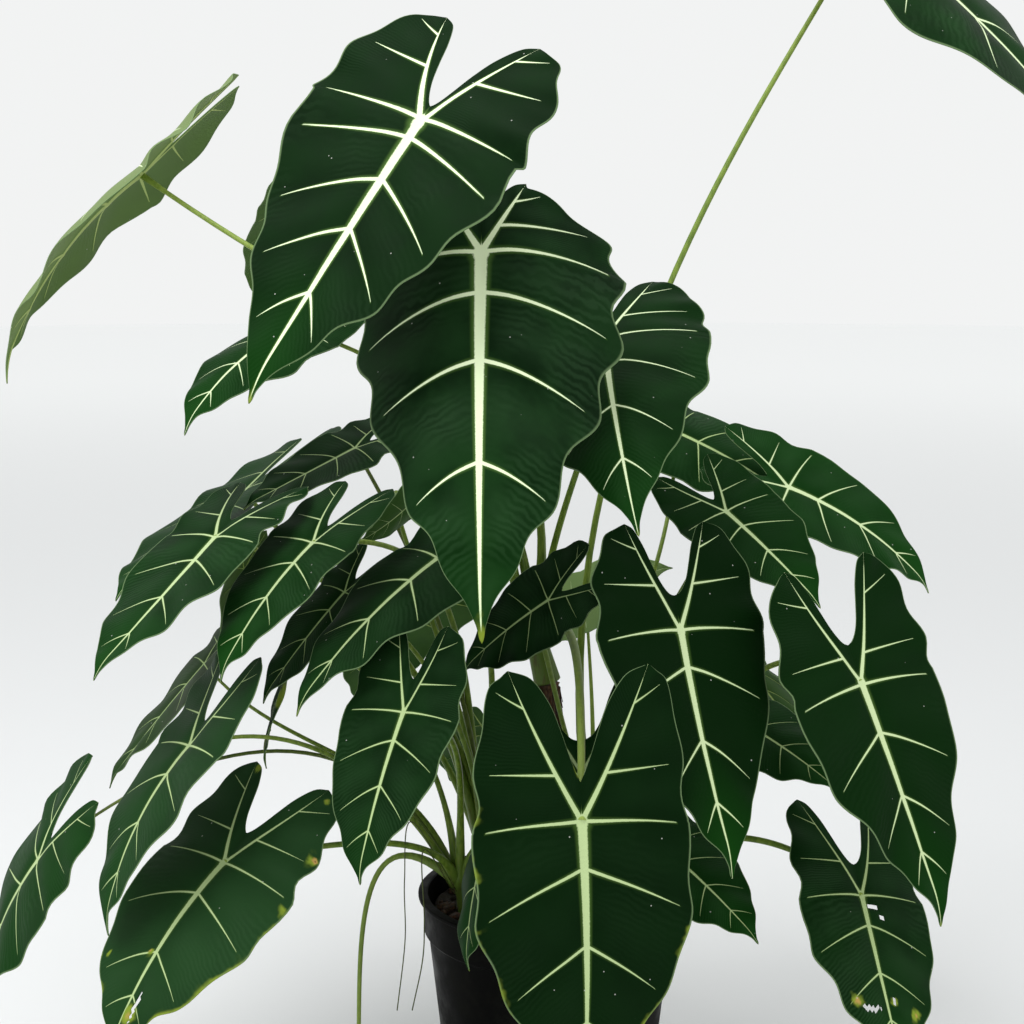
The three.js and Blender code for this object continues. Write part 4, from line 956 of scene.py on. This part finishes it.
def blade_mesh(leaf):
    """Upper face, lower face and edge of one blade, and the marks that its finish reads."""
    at, along, across, out, length = blade_axes(leaf)
    front = max(int(length / ROW_STEP), 24)
    rear = max(int(0.5 * length / ROW_STEP), 14)
    veins = np.array(leaf["veins"])
    beside = [veins, veins - BESIDE_VEIN, veins + BESIDE_VEIN]
    places = np.concatenate([np.linspace(-1, 0, rear + 1), np.linspace(0, 1, front + 1), *beside])
    places = np.unique(np.round(places, 6))
    parts = np.concatenate([RIB_PARTS, np.linspace(0.12, 0.94, 12 if leaf["large"] else 9), MARGIN_PARTS])
    points, marks, faces = [], [], []

    def lay(side, rows, columns, inner):
        base = sum(len(block) for block in points)
        place, part = (grid.ravel() for grid in np.meshgrid(rows, columns, indexing="ij"))
        x, y = flat_point(leaf, place, part, inner)
        z = blade_height(leaf, side, place, part, inner, x, y)
        points.append(at + length * (x[:, None] * along + side * y[:, None] * across + z[:, None] * out))
        rib, vein = vein_marks(leaf, place, part, inner)
        from_margin = np.where((y < 0.012) & (place < 0.5), np.minimum(part, 0.9), part)
        marks.append(np.column_stack([rib, vein, place, from_margin, np.full_like(x, side), x, y]))
        wide = len(columns)
        for i in range(len(rows) - 1):
            for j in range(wide - 1):
                a = base + i * wide + j
                face = (a, a + 1, a + wide + 1, a + wide) if side > 0 else (a, a + wide, a + wide + 1, a + 1)
                faces.append(face[::-1] if inner else face)

    for side in (-1, 1):
        lay(side, places, parts, False)
        lay(side, places[places <= 0], SINUS_PARTS, True)
    points, marks = np.vstack(points), np.vstack(marks)
    _, first, where = np.unique(np.round(points, 2), axis=0, return_index=True, return_inverse=True)
    where = where.ravel()
    points, marks = points[first], marks[first]
    upper = []
    for face in faces:
        corners = list(dict.fromkeys(int(where[k]) for k in face))
        if len(corners) > 2:
            upper.append(corners)
    upper = [face for face in upper if not gone(leaf, marks[face].mean(axis=0))]
    used = np.unique(np.concatenate(upper))
    new = np.full(len(points), -1)
    new[used] = np.arange(len(used))
    points, marks = points[used], marks[used]
    upper = [tuple(int(new[k]) for k in face) for face in upper]
    normals = np.zeros_like(points)
    for face in upper:
        normal = np.cross(points[face[1]] - points[face[0]], points[face[2]] - points[face[0]])
        if len(face) > 3:
            normal = normal + np.cross(points[face[2]] - points[face[0]], points[face[3]] - points[face[0]])
        for k in face:
            normals[k] += normal
    normals /= np.linalg.norm(normals, axis=1)[:, None] + 1e-12
    if np.median(normals @ out) < 0:
        normals = -normals
        upper = [face[::-1] for face in upper]
    deep = BLADE_THICKNESS + (RIB_THICKNESS - BLADE_THICKNESS) * np.exp(-(marks[:, 0] / 1.2) ** 2) * (
        1 - 0.8 * abs(marks[:, 2])) + 0.5 * np.exp(-(marks[:, 1] / 1.5) ** 2)
    count = len(points)
    points = np.vstack([points, points - normals * deep[:, None]]) * MM
    edges = {(face[k - 1], face[k]) for face in upper for k in range(len(face))}
    rim = [(b, a, a + count, b + count) for a, b in edges if (b, a) not in edges]
    lower = [tuple(k + count for k in reversed(face)) for face in upper]
    return points, upper + rim, lower, np.vstack([marks, marks])


def gone(leaf, middle):
    """True where a piece has been torn or eaten out of the blade."""
    side, x, y = middle[4], middle[5], middle[6]
    for hole_side, hole_x, hole_y, long, wide in leaf["holes"]:
        turn = math.atan2((y - hole_y) / wide, (x - hole_x) / long)
        edge = 1 + 0.22 * math.sin(3 * turn + 1) + 0.15 * math.sin(7 * turn)
        if side == hole_side and math.hypot((x - hole_x) / long, (y - hole_y) / wide) < edge:
            return True
    return False


def velvet(name, under):
    """The blade's skin: dark velvet above and paler underneath, with its veins and blemishes, and painted
    highlights on its quilting and ridges.
    """
    skin = Finish(name)
    rib, vein, place, part, quilt = (skin.mark(word) for word in ("rib", "vein", "place", "part", "quilt"))
    fresh, deep, dusty, pallor_and_lit_half = (skin.mark(word) for word in ("fresh", "deep", "dusty", "pale"))
    cream, yellow, burn = (skin.mark(word) for word in ("cream", "yellow", "burn"))
    cloud = skin.noise(22, 3, 0.55)
    speck = skin.noise(900, 2, 0.5)
    drift = skin.noise(60, 2, 0.5)
    patch = skin.ramp(skin.noise(14, 2, 0.5), 0.4, 0.66)
    fine = skin.number("SINE", skin.plus(skin.times(place, 300.0), skin.times(drift, 14.0)))
    fine = skin.times(fine, skin.ramp(part, 0.05, 0.6, 0.25, 1.0))
    ridges = skin.times(skin.ramp(fine, -1.0, 1.0), patch)
    # The lighter green tint is a painted sheen on the quilting and ridges, and also the grey of dust.
    if under:
        dark, mid, leafy = (0.018, 0.055, 0.010), (0.040, 0.095, 0.020), (0.055, 0.140, 0.018)
        sheen_and_dust_tint = (0.05, 0.12, 0.03)
        pale, wan = (0.46, 0.56, 0.20), (0.26, 0.36, 0.10)
    else:
        dark, mid, leafy = (0.0014, 0.0095, 0.0018), (0.0066, 0.0275, 0.0066), (0.005, 0.056, 0.003)
        sheen_and_dust_tint = (0.027, 0.066, 0.027)
        pale, wan = (0.80, 0.92, 0.60), (0.36, 0.48, 0.20)
    halo = skin.number("MAXIMUM", skin.ramp(rib, 2.0, 1.0, 0.0, 0.55), skin.ramp(vein, 3.2, 1.0, 0.0, 0.4))
    on_rib = skin.ramp(skin.plus(rib, skin.times(speck, 0.3)), 1.25, 0.95)
    on_vein = skin.ramp(skin.plus(vein, skin.times(speck, 0.4)), 1.5, 0.95)
    on_vein = skin.times(on_vein, skin.ramp(part, 0.7, 0.95, 1.0, 0.45))
    sick = skin.ramp(skin.plus(yellow, skin.ramp(drift, 0.35, 0.65, -0.3, 0.2)), 0.2, 0.85)
    cell = skin.node("TexVoronoi", Scale=60.0)
    skin.feed(cell, "Vector", skin.place())
    base = skin.coated(
        dark,
        (skin.ramp(cloud, 0.3, 0.7), mid),
        # Painted highlight: the quilted bulges between the side veins are tinted lighter, as if lit.
        (skin.times(quilt, 0.22), sheen_and_dust_tint),
        # Painted highlight: the fine ridges are tinted lighter, as if catching light; their relief is the
        # bump below.
        (skin.times(ridges, 0.3), sheen_and_dust_tint),
        # Dust and painted sheen: some blades are tinted greyer and lighter, partly dust and partly light on
        # the velvet.
        (dusty, sheen_and_dust_tint),
        (deep, (0.0010, 0.0090, 0.0010)),
        (fresh, leafy),
        # Real paleness, plus painted light on one half of a blade where a leaf asks for it.
        (pallor_and_lit_half, (0.38, 0.50, 0.20)),
        (halo, skin.mix(cream, (0.06, 0.12, 0.02), (0.10, 0.20, 0.04))),
        (skin.number("MAXIMUM", on_rib, on_vein), skin.mix(cream, wan, pale)),
        # Painted light: a thin paler line along the margin, where light shows through the thin edge.
        (skin.ramp(part, 0.978, 0.997, 0.0, 0.7), (0.20, 0.30, 0.14)),
        (sick, (0.20, 0.27, 0.028)),
        (skin.ramp(burn, 0.25, 0.6), (0.42, 0.27, 0.08)),
        (skin.ramp(burn, 0.65, 0.9), (0.13, 0.055, 0.025)),
        (skin.ramp(cell.outputs["Distance"], 0.045, 0.03, 0.0, 0.55), (0.6, 0.6, 0.56)),
    )
    skin.surface(
        Base_Color=base,
        Roughness=skin.ramp(cloud, 0.3, 0.7, 0.5, 0.66),
        Specular_IOR_Level=0.05,
        Specular_Tint=(0.62, 1.0, 0.62, 1.0),
        Sheen_Weight=0.012,
        Sheen_Roughness=0.4,
        Sheen_Tint=(0.42, 0.80, 0.42, 1.0),
    )
    height = skin.plus(skin.times(ridges, 0.4), skin.times(speck, 0.16))
    skin.bump(height, 0.0006, 0.55)
    return skin.material


blade_upper = velvet("velvet leaf face", False)
blade_under = velvet("pale leaf underside", True)

for leaf in LEAVES:
    leaf.update({**PLAIN_LOOK, **LOOKS.get(leaf["name"], {})})
    points, upper, lower, marks = blade_mesh(leaf)
    blade = new_piece("blade_" + leaf["name"], points, upper + lower, blade_upper, blade_under)
    blade.data.polygons.foreach_set("material_index", [0] * len(upper) + [1] * len(lower))
    rib, vein, place, part, side, x, y = marks.T
    yellow = np.clip((place - 0.9) / 0.1, 0, 1) ** 1.5 * leaf["tip_yellow"]
    burn = np.zeros_like(place)
    for spot_side, spot_x, spot_y, size, heat in leaf["spots"]:
        near = np.exp(-(((x - spot_x) ** 2 + (y - spot_y) ** 2) / size ** 2)) * (side == spot_side)
        burn = np.maximum(burn, heat * near)
        yellow = np.maximum(yellow, np.clip(1.5 * near ** 0.45, 0, 1))
    for edge_side, start, end, strength in leaf["yellow_edge"]:
        span = np.clip((place - start) / 0.05, 0, 1) * np.clip((end - place) / 0.05, 0, 1)
        hem = np.clip((part - 0.93) / 0.07, 0, 1) * (side == edge_side)
        yellow = np.maximum(yellow, strength * span * hem)
    fresh = leaf["fresh"] + leaf["tip_green"] * np.clip((place - 0.45) / 0.5, 0, 1)
    quilt = np.sin(math.pi * between_veins(leaf, place)) ** 2 * np.clip(4 * part * (1 - part), 0, 1)
    marked(blade, rib=rib, vein=vein, place=place, part=part, quilt=quilt, yellow=yellow, burn=burn,
           fresh=np.clip(fresh, 0, 1), pale=leaf["pale"] + leaf["painted_light_half"] * (side < 0),
           cream=leaf["cream"], deep=leaf["deep"], dusty=leaf["dusty"])
    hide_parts("leaf_" + leaf["name"])


# Floor and light: a pale seamless floor that runs out into the pale room light, a large soft window light
# high on the left, and a weak fill from the front right.
FLOOR_RADIUS = 14.0
FLOOR_SIDES = 96
ROOM_LIGHT = (0.965, 0.975, 0.972)
ROOM_STRENGTH = 0.92

paper = Finish("pale floor")
away = paper.node("VectorMath")
away.operation = "LENGTH"
paper.feed(away, 0, paper.place())
# Painted light: the floor is coloured darker near the lamps and lighter far away, so its lit colour meets the
# room light at the horizon without a seam.
far = paper.ramp(away.outputs["Value"], 1.5, 9.0)
paper.surface(Base_Color=paper.mix(far, (0.74, 0.75, 0.755), (0.97, 0.98, 0.98)), Roughness=0.9)
angles = np.arange(FLOOR_SIDES) * 2 * math.pi / FLOOR_SIDES
floor_points = [(0, 0, 0)] + [(FLOOR_RADIUS * math.cos(a), FLOOR_RADIUS * math.sin(a), 0) for a in angles]
floor_mesh = bpy.data.meshes.new("floor")
floor_mesh.from_pydata(floor_points, [], [(0, k + 1, (k + 1) % FLOOR_SIDES + 1) for k in range(FLOOR_SIDES)])
floor_mesh.materials.append(paper.material)
floor = bpy.data.objects.new("floor", floor_mesh)
bpy.context.scene.collection.objects.link(floor)

room = bpy.data.worlds.new("room light")
room.use_nodes = True
glow = room.node_tree.nodes["Background"]
glow.inputs["Color"].default_value = (*ROOM_LIGHT, 1)
glow.inputs["Strength"].default_value = ROOM_STRENGTH
bpy.context.scene.world = room


def soft_light(name, place, target, size, power):
    lamp = bpy.data.objects.new(name, bpy.data.lights.new(name, "AREA"))
    bpy.context.scene.collection.objects.link(lamp)
    lamp.data.shape = "SQUARE"
    lamp.data.size = size
    lamp.data.energy = power
    lamp.location = place
    lamp.rotation_euler = (Vector(target) - Vector(place)).to_track_quat("-Z", "Y").to_euler()


soft_light("window light", place=(-1.0, -0.9, 3.0), target=(0, 0, 0.6), size=1.8, power=55)
soft_light("front fill", place=(1.6, -2.4, 1.5), target=(0, 0, 0.5), size=2.0, power=10)
